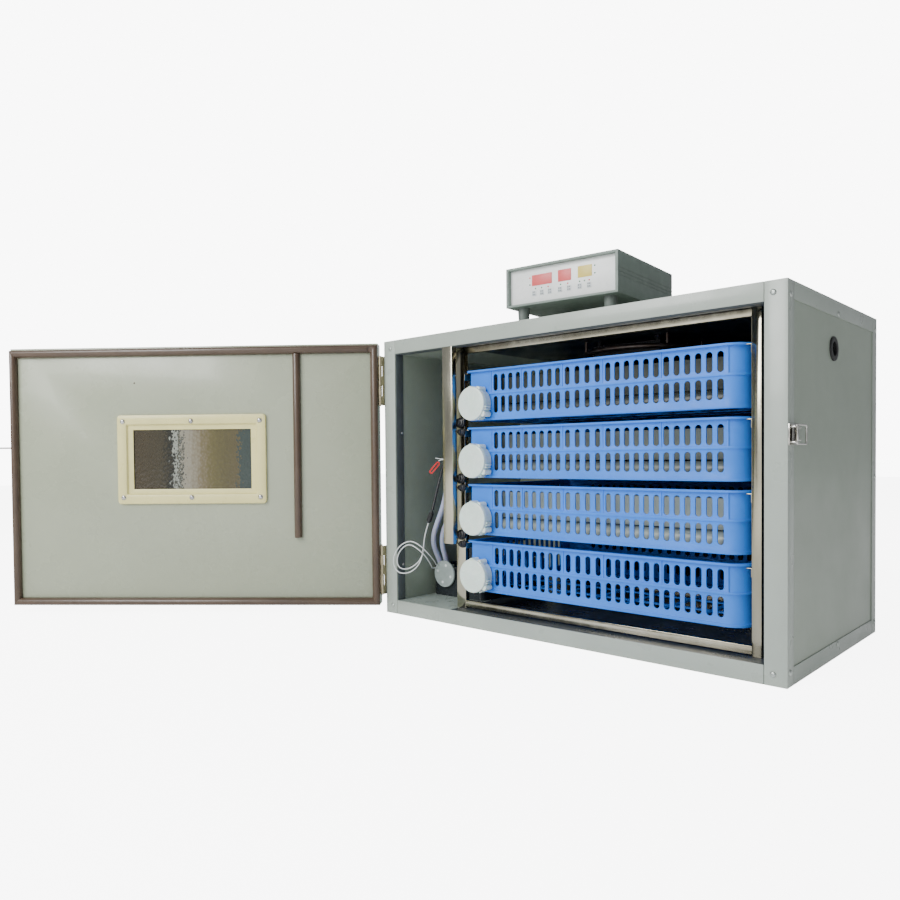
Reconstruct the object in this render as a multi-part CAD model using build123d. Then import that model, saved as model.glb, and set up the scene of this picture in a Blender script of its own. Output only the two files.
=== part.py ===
from build123d import *
import math
import os

# Egg incubator: an insulated cabinet with four sliding trays, a swing door and a controller on its roof.
# Frame: millimetres, origin at the centre of the cabinet's underside, +Z up, the door side towards -Y.
# The model is drawn as it stands in use with the door swung open.

# Cabinet
WIDTH, DEPTH, HEIGHT = 720.0, 400.0, 500.0
SHEET = 1.5  # edge angles
SEAM = 0.5  # between a rail's end and the corner post
POST_FACE, POST_SIDE = 28.5, 22.0  # corner angle flanges, on the front and on the side
RAIL_FACE, RAIL_SIDE = 25.0, 23.0  # rail flange heights, front rails and side rails
BACK_PANEL_THICK = 25.0
HALF_W, HALF_D = WIDTH / 2, DEPTH / 2
BAY_X = HALF_W - POST_FACE  # half width of the chamber
FLOOR_Z, CEILING_Z = RAIL_FACE, HEIGHT - RAIL_FACE
RIVET_R, RIVET_RISE = 4.2, 2.2
FRONT_RIVET_X, FRONT_RIVET_Z = 342.6, 15.0  # from the middle, and from the top or bottom edge
SIDE_RIVET_Y, SIDE_RIVET_Z = 9.5, 18.5  # from the edges

# Door, drawn closed and then swung about its hinge pins
DOOR_OPEN = 140.0
PIVOT_X, PIVOT_Y = -361.5, -208.5
DOOR_X0, DOOR_X1 = -357.0, 338.0
DOOR_Z0, DOOR_Z1 = 14.0, 497.0
DOOR_IN_Y, DOOR_OUT_Y = -210.0, -238.0
GASKET_WIDE, GASKET_TALL, GASKET_TOP = 14.0, 9.7, 493.5
WINDOW_X, WINDOW_Z = -7.0, 287.0
FRAME_W, FRAME_H, FRAME_T = 281.0, 166.0, 5.0
GLASS_W, GLASS_H, GLASS_T = 223.0, 111.0, 4.0
CUT_MARGIN = 4.0  # the door is cut this much larger than the glass opening

# Hinges
HINGE_TALL, HINGE_LEAF = 90.0, 1.6
HINGE_BOTTOMS = (34.0, 383.0)
KNUCKLES, KNUCKLE_GAP = 5, 0.3
KNUCKLE_R, PIN_R = 3.2, 1.4
RUNNING = 0.05  # radial clearance of everything that turns

# Rack and trays
TRAY_RIMS = (433.0, 336.5, 240.0, 143.5)  # heights of the four rims, top tray first
TRAY_TALL, TRAY_WALL = 85.0, 2.0
TRAY_X0, TRAY_X1 = -177.0, 297.0
TRAY_Y0, TRAY_Y1 = -170.0, 130.0
RIM_OUT, RIM_THICK = 6.0, 3.0
LEFT_CORNER, RIGHT_CORNER = 5.0, 28.0  # radii of the tray's corners
SLOT_GROUPS = ((4, 15.5), (5, 15.5), (4, 17.8), (6, 15.5), (6, 15.5))  # slots in a group, and their pitch
FIRST_SLOT_X = -120.0
SLOT_WIDE, SLOT_TALL = 9.0, 28.0
UPPER_SLOT, LOWER_SLOT = 22.8, 59.2  # slot centres, below the rim
SIDE_SLOTS, SIDE_PITCH = 15, 16.0
RACK_LEFT, RACK_RIGHT = -207.5, 306.0  # outer edge of the left uprights, inner edge of the right ones
RACK_LEFT_TUBE, RACK_TUBE, RACK_THICK = 20.0, 12.5, 10.0
RACK_FRONT, RACK_BACK = -173.0, 140.0

# Rollers and their drive
ROLLER_YS = tuple(-140.0 + 60.0 * i for i in range(5))
ROLLER_R, ROLLER_DROP = 12.0, 70.0
ROLLER_X0, ROLLER_X1 = -127.0, 283.0
RACK_PLATE = 3.0
DIVIDER_TOP, DIVIDER_BOTTOM = 13.0, 56.0  # egg row dividers, below the rim
JOURNAL_R = 3.0
SHAFT_X, SHAFT_DROP, SHAFT_R, WORM_R = -140.0, 57.0, 2.2, 3.2
WHEEL_R, WHEEL_WIDE = 9.5, 8.0
MOTOR_X, MOTOR_DROP, CAP_R = -155.0, 57.0, 28.5

# Left bay: divider strip, water pan, atomiser and lines
STRIP_X0, STRIP_X1, STRIP_Z0 = -214.0, -192.0, 138.0
PAN = ((-329.0, -203.0), (-107.0, 100.0), (25.0, 81.0))
DISC = (-294.5, -111.0, 67.0)
DISC_R, DISC_T = 25.0, 6.0
WIRE_R, CABLE_R, HOSE_R = 1.0, 2.0, 5.0
CONNECTOR_R = 4.8

# The twin lead from the connector round its loop to the atomiser, one route for each wire
WIRE_A = [(-283, -166, 166.9), (-287, -169, 152), (-287, -174, 134), (-283, -181, 114), (-282, -189, 97),
          (-292, -196, 83), (-309, -202, 76), (-328, -205, 79), (-337, -205, 98), (-327, -205, 119),
          (-310, -202, 133), (-292, -198, 137), (-276, -191, 127), (-271, -176, 111), (-278, -156, 97),
          (-291, -139, 89), (-303, -126, 85), (-309, -114.6, 83)]
WIRE_B = [(-285, -163, 167.3), (-290, -165, 152), (-290, -170, 134), (-286, -176, 116), (-287, -184, 101),
          (-296, -191, 90), (-311, -197, 83), (-324, -202, 86), (-329, -203, 99), (-323, -202, 115),
          (-311, -199, 127), (-298, -197, 130), (-284, -193, 123), (-276, -182, 110), (-281, -163, 92),
          (-294, -146, 82), (-307, -130, 78.5), (-313, -114.6, 78)]
SENSOR_ROUTE = [(-275.6, -162.7, 190.8), (-275, -157, 209), (-275, -149, 232), (-273, -142, 256),
                (-266, -139, 282), (-259, -138, 316), (-256, -140, 362), (-258, -141, 418),
                (-257, -139, 474.8)]
HOSE_A = [(-319, -92, 34), (-318, -93, 60), (-318, -98, 86), (-320, -108, 106), (-318, -117, 122),
          (-312, -122, 142), (-302, -123, 163), (-288, -124, 188), (-276, -126, 216), (-270, -127, 256),
          (-271, -126, 306), (-269, -126, 362), (-270, -125, 420), (-270, -126, 474.8)]
HOSE_B = [(-305, -86, 34), (-305, -88, 64), (-307, -95, 94), (-307, -105, 120), (-301, -109, 146),
          (-284, -111, 173), (-273, -110, 202), (-269, -109, 240), (-271, -109, 292), (-269, -110, 350),
          (-270, -109, 412), (-270, -110, 474.8)]

# Circulation fan and heater under the ceiling
FAN_X, FAN_Y, FAN_Z0, FAN_SIDE, FAN_TALL = 60.0, 0.0, 442.0, 120.0, 25.0
FAN_BORE_R, ROTOR_R, BLADES = 58.0, 55.5, 7
HEATER_R, HEATER_TUBE_R, HEATER_Z = 95.0, 4.0, 456.0

# Vent grommet and draw latch on the right side
VENT_Y, VENT_Z, VENT_R, VENT_FLANGE_R = -18.0, 432.0, 10.0, 17.0
LATCH_Z, LATCH_X, LATCH_Y = 311.0, 365.0, -188.0  # height, and the lever's pin
LEVER_ANGLE, LEVER_LONG, LEVER_HALF = -60.0, 22.0, 8.0
BAIL_ARM, BAIL_ANGLE, BAIL_LONG, BAIL_HALF, BAIL_R = 8.0, 93.0, 40.0, 11.8, 1.2
HOOK_X, HOOK_Y, HOOK_TIP_Y, HOOK_R = 368.0, -216.5, -222.5, 1.6  # the keeper's hook, with the door closed

# Controller
CASE = (-92.4, -174.8, 528.0)  # its lower front left corner
CASE_TURN = 4.87
CASE_W, CASE_D, CASE_H, CASE_WALL, CASE_LIP = 197.0, 208.0, 63.0, 2.5, 8.0
FOOT_R = 10.0
GROOVE = 0.4
DISPLAYS = ((44.5, 81.0, 31.0, 48.0), (92.0, 115.0, 31.0, 49.0), (126.7, 150.7, 32.0, 49.5))
LAMPS = ([(40.6, 44.5), (40.6, 33.5), (155.4, 47.0), (155.4, 35.5)]
         + [(x, 26.5) for x in (51.0, 62.3, 74.0, 96.5, 109.1, 129.7, 137.9, 145.9)])
KEY_XS = (48.4, 62.7, 77.1, 95.3, 111.2, 129.6, 145.7)
KEY_Z, KEY_W, KEY_H = 19.0, 7.4, 8.4


def block(x, y, z):
    """A box between two corners, given as three (low, high) pairs."""
    sizes = [high - low for low, high in (x, y, z)]
    middle = [(low + high) / 2 for low, high in (x, y, z)]
    return Pos(*middle) * Box(*sizes)


def rod(start, end, radius):
    """A round bar between two points."""
    start, end = Vector(*start), Vector(*end)
    plane = Plane(origin=start, z_dir=(end - start).normalized())
    return extrude(plane * Circle(radius), (end - start).length)


def dome(point, normal, radius, rise):
    """A low domed head that stands on a surface."""
    ball = (radius**2 + rise**2) / (2 * rise)
    cap = (Pos(0, 0, rise - ball) * Sphere(ball)) & (Pos(0, 0, rise) * Box(4 * radius, 4 * radius, 2 * rise))
    return Plane(origin=point, z_dir=normal) * cap


def mirrored_pairs(x, y):
    """The four corner places of a rectangle centred on the origin."""
    return [(sx * x, sy * y) for sx in (-1, 1) for sy in (-1, 1)]


def line_tube(route, radius):
    """A flexible line's tube: straight runs joined by arcs as large as the runs allow."""
    points = [Vector(*p) for p in route]
    radii = []
    for before, here, after in zip(points, points[1:], points[2:]):
        turn = math.radians((here - before).get_angle(after - here))
        shorter = min((here - before).length, (after - here).length)
        radii.append(0.45 * shorter / math.tan(turn / 2))
    path = FilletPolyline(*points, radius=radii)
    print(f"  line r {radius}: length {path.length:.0f}, tightest arc {min(radii):.1f}")
    section = Plane(origin=points[0], z_dir=points[1] - points[0]) * Circle(radius)
    return sweep(section, path=path)


def swung(shape):
    """A closed-door shape, turned with the door to the angle at which it stands."""
    return Pos(PIVOT_X, PIVOT_Y, 0) * Rot(0, 0, -DOOR_OPEN) * Pos(-PIVOT_X, -PIVOT_Y, 0) * shape


def seated(shape):
    """A controller shape, drawn from the case's lower front left corner, put on the roof."""
    return Pos(*CASE) * Rot(0, 0, CASE_TURN) * shape


def save(name, *solids):
    export_step(Compound(children=[s for shape in solids for s in shape.solids()]), f"parts/{name}.step")


def side_panel(side):
    face, inside = side * (HALF_W - SHEET), side * BAY_X
    panel = block(sorted((face, inside)), (SHEET - HALF_D, HALF_D - SHEET), (SHEET, HEIGHT - SHEET))
    if side > 0:
        panel -= rod((inside - 1, VENT_Y, VENT_Z), (face + 1, VENT_Y, VENT_Z), VENT_FLANGE_R - 2)
    return panel


def corner_post(x, y):
    """A folded corner angle, closed by a tab at each end."""
    outer = block(sorted((x, x - math.copysign(POST_FACE, x))), sorted((y, y - math.copysign(POST_SIDE, y))),
                  (0, HEIGHT))
    inner_x, inner_y = x - math.copysign(SHEET, x), y - math.copysign(SHEET, y)
    return outer - block(sorted((inner_x, inner_x - math.copysign(POST_FACE, x))),
                         sorted((inner_y, inner_y - math.copysign(POST_SIDE, y))), (SHEET, HEIGHT - SHEET))


def width_rail(side, top):
    along = (SEAM - BAY_X, BAY_X - SEAM)
    face = block(along, sorted((side * HALF_D, side * (HALF_D - SHEET))),
                 (CEILING_Z, HEIGHT) if top else (0, FLOOR_Z))
    flange = block(along, sorted((side * HALF_D, side * (HALF_D - RAIL_FACE))),
                   (HEIGHT - SHEET, HEIGHT) if top else (0, SHEET))
    return face + flange


def depth_rail(side, top):
    reach = HALF_D - POST_SIDE - SEAM
    face = block(sorted((side * HALF_W, side * (HALF_W - SHEET))), (-reach, reach),
                 (HEIGHT - RAIL_SIDE, HEIGHT) if top else (0, RAIL_SIDE))
    flange = block(sorted((side * HALF_W, side * (HALF_W - RAIL_FACE))), (-reach, reach),
                   (HEIGHT - SHEET, HEIGHT) if top else (0, SHEET))
    return face + flange


def cabinet():
    save("left_panel", side_panel(-1))
    save("right_panel", side_panel(1))
    across, along = (-BAY_X, BAY_X), (SHEET - HALF_D, HALF_D - SHEET)
    between_rails = (RAIL_FACE - HALF_D, HALF_D - RAIL_FACE)
    save("top_panel", block(across, along, (CEILING_Z, HEIGHT - SHEET)))
    save("bottom_panel", block(across, along, (SHEET, FLOOR_Z)) + block(across, between_rails, (0, FLOOR_Z)))
    back_y = HALF_D - SHEET
    save("back_panel", block(across, (back_y - BACK_PANEL_THICK, back_y), (FLOOR_Z, CEILING_Z)))
    save("corner_posts", *[corner_post(x, y) for x, y in mirrored_pairs(HALF_W, HALF_D)])
    save("width_rails", *[width_rail(side, top) for side in (-1, 1) for top in (False, True)])
    save("depth_rails", *[depth_rail(side, top) for side in (-1, 1) for top in (False, True)])


def rivets():
    rear_y = HALF_D - SIDE_RIVET_Y
    solids = []
    for side in (-1, 1):
        solids += [dome((x, side * HALF_D, z), (0, side, 0), RIVET_R, RIVET_RISE)
                   for x in (-FRONT_RIVET_X, FRONT_RIVET_X) for z in (FRONT_RIVET_Z, HEIGHT - FRONT_RIVET_Z)]
        solids += [dome((side * HALF_W, y, z), (side, 0, 0), RIVET_R, RIVET_RISE)
                   for y in (-rear_y, 0, rear_y) for z in (SIDE_RIVET_Z, HEIGHT - SIDE_RIVET_Z)]
        solids.append(dome((side * HALF_W, rear_y, HEIGHT / 2), (side, 0, 0), RIVET_R, RIVET_RISE))
    save("cabinet_rivets", *solids)


def rack():
    """The stainless rack: two square tube frames joined by eight runners that carry the tray rims."""
    left, right = (RACK_LEFT, RACK_LEFT + RACK_LEFT_TUBE), (RACK_RIGHT, RACK_RIGHT + RACK_TUBE)
    between = (left[1], right[0])
    solids = []
    for y in (RACK_FRONT, RACK_BACK):
        thick = (y, y + RACK_THICK)
        solids += [block(x, thick, (FLOOR_Z, CEILING_Z)) for x in (left, right)]
        solids.append(block(between, thick, (FLOOR_Z + 3, FLOOR_Z + 14)))
        solids.append(block(between, thick, (CEILING_Z - 11, CEILING_Z)))
    run = (RACK_FRONT, RACK_BACK + RACK_THICK)
    for rim in TRAY_RIMS:
        top = rim - RIM_THICK - 0.3
        for edge, wall in ((left[1], TRAY_X0 - 1.5), (right[0], TRAY_X1 + 1.5)):
            lip = math.copysign(1.2, wall - edge)
            solids.append(block(sorted((edge, wall)), run, (top - 1.2, top))
                          + block(sorted((edge, edge + lip)), run, (top - 12, top)))
    save("rack_frame", *solids)


def divider_strip():
    depth = (1 - HALF_D, 13 - HALF_D)
    channel = block((STRIP_X0, STRIP_X1), depth, (STRIP_Z0, CEILING_Z))
    channel -= block((STRIP_X0 + 1.2, STRIP_X1 - 1.2), (depth[0] + 1.2, depth[1]), (STRIP_Z0, CEILING_Z))
    save("divider_strip", channel)


def slot_places():
    """Slot centres along the front of a tray, group by group."""
    places, x, last_pitch = [], FIRST_SLOT_X, None
    for count, pitch in SLOT_GROUPS:
        if last_pitch:
            x += max(pitch, last_pitch)
        places.append([x + i * pitch for i in range(count)])
        x, last_pitch = places[-1][-1], pitch
    return places


def tray_basket():
    """A tray with its rim at height zero."""
    middle = Pos((TRAY_X0 + TRAY_X1) / 2, (TRAY_Y0 + TRAY_Y1) / 2, 0)
    wide, deep = TRAY_X1 - TRAY_X0, TRAY_Y1 - TRAY_Y0

    def ring(out, low, high):
        profile = Rectangle(wide + 2 * out, deep + 2 * out)
        profile = fillet(profile.vertices().sort_by(Axis.X)[:2], LEFT_CORNER + out)
        profile = fillet(profile.vertices().sort_by(Axis.X)[-2:], RIGHT_CORNER + out)
        return middle * Pos(0, 0, low) * extrude(profile, high - low)

    hollow = ring(-TRAY_WALL, TRAY_WALL - TRAY_TALL, 1)
    basket = ring(0, -TRAY_TALL, 0) + ring(RIM_OUT, -RIM_THICK, 0)
    basket += ring(1.8, -42, -38.5) + ring(1.5, -TRAY_TALL, 4 - TRAY_TALL)
    groups = slot_places()
    gaps = [(a[-1] + b[0]) / 2 for a, b in zip(groups, groups[1:])]
    for x in [FIRST_SLOT_X - 9, *gaps, groups[-1][-1] + 10.5]:
        for y in ((TRAY_Y0 - 1.2, TRAY_Y0 + 1), (TRAY_Y1 - 1, TRAY_Y1 + 1.2)):
            basket += block((x - 0.8, x + 0.8), y, (-40, -RIM_THICK))
    basket -= hollow
    slot = Rot(0, 0, 90) * SlotOverall(SLOT_TALL, SLOT_WIDE)
    front_plane = Plane(origin=(0, TRAY_Y1 + 9, 0), x_dir=(1, 0, 0), z_dir=(0, -1, 0))
    side_plane = Plane(origin=(TRAY_X0 - 9, 0, 0), x_dir=(0, 1, 0), z_dir=(1, 0, 0))
    side_ys = [(TRAY_Y0 + TRAY_Y1) / 2 + (i - (SIDE_SLOTS - 1) / 2) * SIDE_PITCH for i in range(SIDE_SLOTS)]
    cutters = []
    for drop in (UPPER_SLOT, LOWER_SLOT):
        cutters += [extrude(front_plane * Pos(x, -drop) * slot, deep + 18) for group in groups for x in group]
        cutters += [extrude(side_plane * Pos(y, -drop) * slot, wide + 18) for y in side_ys]
    for column in range(7):
        for row in range(4):
            x, y = TRAY_X0 + 24 + 62 * column, TRAY_Y0 + 22 + 66 * row
            cutters.append(block((x, x + 54), (y, y + 58), (-TRAY_TALL - 1, TRAY_WALL - TRAY_TALL + 1)))
    return basket - cutters


def turner_motor():
    """The gear motor's cap on the front of a tray, and the motor and gearbox behind the wall."""
    front, wall = -194.0, TRAY_Y0
    centre = Vector(MOTOR_X, 0, -MOTOR_DROP)

    def disc(radius, y0, y1, angle=0.0, out=0.0):
        x = centre.X + out * math.cos(math.radians(angle))
        z = centre.Z + out * math.sin(math.radians(angle))
        return rod((x, y0, z), (x, y1, z), radius)

    cap = disc(CAP_R, front + 1, front + 9) + disc(CAP_R - 1, front, front + 9)
    cap += disc(CAP_R - 2, front + 9, wall - 2)
    cap += disc(8, wall - 2, wall)
    for angle, out in ((62, 26.5), (100, 25.0), (-38, 29.0)):
        cap += disc(5, front + 4, wall - 3, angle, out)
    gears = (wall + 6, wall + 16)
    motor = disc(14, *gears, 0, 7) + disc(4, wall + 2.4, wall + 6, 0, 7)
    motor += block((MOTOR_X + 7, SHAFT_X + 8.5), gears, (centre.Z - 12, centre.Z + 12))
    return [cap, motor]


def roller_rack():
    """End plates with the roller and shaft bearings, and the dividers between the rows of eggs."""
    y_run = (TRAY_Y0 + 10.5, TRAY_Y1 - 10.5)
    top, low = -DIVIDER_TOP, TRAY_WALL - TRAY_TALL
    left = block((ROLLER_X0 - 4, ROLLER_X0 - 4 + RACK_PLATE), y_run, (low, top))
    right = block((ROLLER_X1 + 1, ROLLER_X1 + 1 + RACK_PLATE), y_run, (low, top))
    dividers = []
    for y in ROLLER_YS:
        axle = rod((ROLLER_X0 - 9, y, -ROLLER_DROP), (ROLLER_X1 + 9, y, -ROLLER_DROP), JOURNAL_R + RUNNING)
        left -= axle
        right -= axle
        dividers.append(block((ROLLER_X0 - 1, ROLLER_X1 + 1), (y - 1, y + 1), (-DIVIDER_BOTTOM, top)))
    bearings = []
    for y in (ROLLER_YS[0] + 30, ROLLER_YS[-1] - 30):
        ear = block((SHAFT_X - 5, ROLLER_X0 - 4), (y - 2, y + 2), (-SHAFT_DROP - 6, 6 - SHAFT_DROP))
        bore = rod((SHAFT_X, y - 3, -SHAFT_DROP), (SHAFT_X, y + 3, -SHAFT_DROP), SHAFT_R + RUNNING)
        bearings.append(ear - bore)
    return [left, right, *dividers, *bearings]


def turning_shaft():
    """The shaft along the tray with a worm above each roller's wheel."""
    shaft = rod((SHAFT_X, TRAY_Y0 + 16.3, -SHAFT_DROP), (SHAFT_X, ROLLER_YS[-1] + 10, -SHAFT_DROP), SHAFT_R)
    for y in ROLLER_YS:
        shaft += rod((SHAFT_X, y - 7, -SHAFT_DROP), (SHAFT_X, y + 7, -SHAFT_DROP), WORM_R)
    return shaft


def roller(y):
    """One egg roller with its journals and its wheel."""
    body = rod((ROLLER_X0, y, -ROLLER_DROP), (ROLLER_X1, y, -ROLLER_DROP), ROLLER_R)
    body += rod((SHAFT_X - WHEEL_WIDE / 2, y, -ROLLER_DROP), (ROLLER_X1 + 4, y, -ROLLER_DROP), JOURNAL_R)
    wheel_ends = (SHAFT_X - WHEEL_WIDE / 2, y, -ROLLER_DROP), (SHAFT_X + WHEEL_WIDE / 2, y, -ROLLER_DROP)
    return body + rod(*wheel_ends, WHEEL_R)


def trays():
    basket, motor, carrier = tray_basket(), turner_motor(), roller_rack()
    for number, rim in enumerate(TRAY_RIMS, 1):
        lift = Pos(0, 0, rim)
        save(f"tray_basket_{number}", lift * basket)
        save(f"turner_motor_{number}", *[lift * s for s in motor])
        if number == 1:
            save("roller_rack_1", *[lift * s for s in carrier])
            save("turning_shaft_1", lift * turning_shaft())
            for index, y in enumerate(ROLLER_YS, 1):
                save(f"roller_1_{index}", lift * roller(y))
        elif number < 4:
            solids = carrier + [turning_shaft()] + [roller(y) for y in ROLLER_YS]
            save(f"roller_rack_{number}", *[lift * s for s in solids])


def fan_and_heater():
    centre = Pos(FAN_X, FAN_Y, FAN_Z0)
    housing = Pos(0, 0, FAN_TALL / 2) * Box(FAN_SIDE, FAN_SIDE, FAN_TALL)
    housing -= rod((0, 0, -1), (0, 0, FAN_TALL + 1), FAN_BORE_R)
    hub = rod((0, 0, 20), (0, 0, FAN_TALL), 20)
    for turn in range(4):
        hub += Rot(0, 0, 45 + 90 * turn) * block((0, FAN_BORE_R + 1), (-3, 3), (21, FAN_TALL))
    housing += hub
    housing -= rod((0, 0, 10), (0, 0, FAN_TALL + 1), 1.5 + RUNNING)
    for x, y in mirrored_pairs(52, 52):
        housing += rod((x, y, FAN_TALL), (x, y, CEILING_Z - FAN_Z0), 4)
    save("fan_housing", centre * housing)
    rotor = rod((0, 0, 3), (0, 0, 18), 21) + rod((0, 0, 18), (0, 0, 24), 1.5)
    for turn in range(BLADES):
        blade = Rot(0, 0, 360 / BLADES * turn) * Pos(36, 0, 10.5) * Rot(38, 0, 0) * Box(37, 22, 1.4)
        rotor += blade & rod((0, 0, 2.5), (0, 0, 18.5), ROTOR_R)
    save("fan_rotor", centre * rotor)
    ring = Pos(FAN_X, FAN_Y, HEATER_Z) * Torus(HEATER_R, HEATER_TUBE_R)
    for angle in (40, 140, 220, 320):
        x = FAN_X + HEATER_R * math.cos(math.radians(angle))
        y = FAN_Y + HEATER_R * math.sin(math.radians(angle))
        ring += rod((x, y, HEATER_Z), (x, y, CEILING_Z), 2.5)
    save("heater_ring", ring)


def water_pan():
    x, y, z = PAN
    sizes = [high - low for low, high in PAN]
    place = Pos((x[0] + x[1]) / 2, (y[0] + y[1]) / 2, z[0])
    pan = place * extrude(RectangleRounded(sizes[0], sizes[1], 12), sizes[2])
    pan += place * Pos(0, 0, sizes[2] - 4) * extrude(RectangleRounded(sizes[0] + 4, sizes[1] + 4, 14), 4)
    pan -= place * Pos(0, 0, 3) * extrude(RectangleRounded(sizes[0] - 6, sizes[1] - 6, 9), sizes[2])
    valve = block((-252, -214), (-101, -65), (z[0] + 3, 123)) + rod((-233, -83, 123), (-233, -83, 131), 7)
    save("water_tank", pan, valve)
    faces = (DISC[0], DISC[1] - DISC_T / 2, DISC[2]), (DISC[0], DISC[1] + DISC_T / 2 - 1.2, DISC[2])
    disc = rod(*faces, DISC_R)
    disc = fillet(disc.edges().filter_by(GeomType.CIRCLE), 1.2)
    for angle in (75, 165, 255, 345):
        x_spot = DISC[0] + 17 * math.cos(math.radians(angle))
        z_spot = DISC[2] + 17 * math.sin(math.radians(angle))
        disc += dome((x_spot, DISC[1] - DISC_T / 2, z_spot), (0, -1, 0), 2.6, 0.9)
    hook = block((-286, -280), (DISC[1] + 1, -100), (81, 84.5))
    hook += block((-286, -280), (-104, -100), (66, 84.5))
    save("atomiser_disc", disc + hook)


def lines():
    save("atomiser_wire_a", line_tube(WIRE_A, WIRE_R))
    save("atomiser_wire_b", line_tube(WIRE_B, WIRE_R))
    save("sensor_cable", line_tube(SENSOR_ROUTE, CABLE_R))
    save("water_hose_a", line_tube(HOSE_A, HOSE_R))
    save("water_hose_b", line_tube(HOSE_B, HOSE_R))
    lower, upper = (-284, -164.5, 168), (-276, -163, 189)
    connector = rod(lower, upper, CONNECTOR_R - 1.2)
    direction = Vector(*upper) - Vector(*lower)
    middle = Plane(origin=Vector(*lower) + direction * 0.5, z_dir=direction)
    connector += extrude(middle * Circle(CONNECTOR_R), 8.5, both=True)
    tie_centre = (-266, -139, 282)
    tie = Plane(origin=tie_centre, z_dir=(7, 1, 34)) * (Cylinder(4.6, 3) - Cylinder(2.3, 3))
    tie += rod((-270, -140.5, 283), (-276.5, -145, 279.5), 1.0)
    tag_frame = Plane(origin=(-281.5, -150, 267.5), x_dir=(-0.47, -0.434, -0.77), z_dir=(0.677, -0.7355, 0))
    tag = tag_frame * extrude(RectangleRounded(27, 8, 3.9) - RectangleRounded(19, 3, 1.4), 1.0, both=True)
    save("cable_fittings", connector, tie, tag)


def vent_grommet():
    y, z = VENT_Y, VENT_Z
    outer, inner = HALF_W + 1.0, BAY_X - 2.5
    rubber = rod((inner, y, z), (outer, y, z), VENT_FLANGE_R - 2)
    rubber += rod((HALF_W - SHEET, y, z), (outer, y, z), VENT_FLANGE_R)
    rubber += rod((inner, y, z), (BAY_X, y, z), VENT_FLANGE_R)
    save("vent_grommet", rubber - rod((inner - 1, y, z), (outer + 1, y, z), VENT_R))


def from_pin(angle, reach):
    """The point at a distance from the latch lever's pin, at an angle from +X towards +Y."""
    return (LATCH_X + reach * math.cos(math.radians(angle)), LATCH_Y + reach * math.sin(math.radians(angle)))


def draw_latch():
    """The latch on the right side: base with its pin, lever, and wire bail."""
    z = LATCH_Z
    base = block((HALF_W, HALF_W + SHEET), (-199, -165), (z - 13, z + 13))
    for low, high in ((z - 10.2, z - 8.7), (z + 8.7, z + 10.2)):
        ear = block((HALF_W, LATCH_X), (LATCH_Y - 4, LATCH_Y + 4), (low, high))
        base += ear + rod((LATCH_X, LATCH_Y, low), (LATCH_X, LATCH_Y, high), 4)
    base -= rod((LATCH_X, LATCH_Y, z - 12), (LATCH_X, LATCH_Y, z + 12), 1.5)
    pin = rod((LATCH_X, LATCH_Y, z - 10.3), (LATCH_X, LATCH_Y, z + 10.3), 1.5)
    screws = [dome((HALF_W + SHEET, -170, z + dz), (1, 0, 0), 2.2, 0.6) for dz in (-8, 8)]
    save("latch_base", base, pin, *screws)

    # the lever is a shallow channel, drawn along +X from its pin and then turned
    lever = block((-2, LEVER_LONG), (-2.6, -1.6), (z - LEVER_HALF, z + LEVER_HALF))
    for low, high in ((z - LEVER_HALF, z - LEVER_HALF + 1.2), (z + LEVER_HALF - 1.2, z + LEVER_HALF)):
        lever += block((-2, LEVER_LONG - 4), (-2.6, 2.6), (low, high))
    for reach, hole in ((0, 1.5 + RUNNING), (BAIL_ARM, BAIL_R + RUNNING)):
        lever -= rod((reach, 0, z - 12), (reach, 0, z + 12), hole)
    save("latch_lever", Pos(LATCH_X, LATCH_Y, 0) * Rot(0, 0, LEVER_ANGLE) * lever)

    foot_x, foot_y = from_pin(LEVER_ANGLE, BAIL_ARM)
    tip_x = foot_x + BAIL_LONG * math.cos(math.radians(BAIL_ANGLE))
    tip_y = foot_y + BAIL_LONG * math.sin(math.radians(BAIL_ANGLE))
    half = BAIL_HALF
    points = [(foot_x, foot_y, z - 5), (foot_x, foot_y, z - half), (tip_x, tip_y, z - half),
              (tip_x, tip_y, z + half), (foot_x, foot_y, z + half), (foot_x, foot_y, z + 5)]
    path = FilletPolyline(*points, radius=[1.6, 4, 4, 1.6])
    save("latch_bail", sweep(Plane(origin=points[0], z_dir=(0, 0, -1)) * Circle(BAIL_R), path=path))


def keeper():
    """The plate and wire hook on the door's free edge that the bail catches, drawn with the door closed."""
    plate = block((DOOR_X1, DOOR_X1 + SHEET), (-236, -214), (LATCH_Z - 14, LATCH_Z + 14))
    plate += rod((DOOR_X1 + 1, HOOK_Y, LATCH_Z), (HOOK_X, HOOK_Y, LATCH_Z), HOOK_R)
    plate += rod((HOOK_X, HOOK_Y, LATCH_Z), (HOOK_X, HOOK_TIP_Y, LATCH_Z), HOOK_R - 0.2)
    screws = [dome((DOOR_X1 + SHEET, -231, LATCH_Z + dz), (1, 0, 0), 2.2, 1.0) for dz in (-9, 9)]
    save("latch_keeper", *[swung(s) for s in (plate, *screws)])


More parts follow.
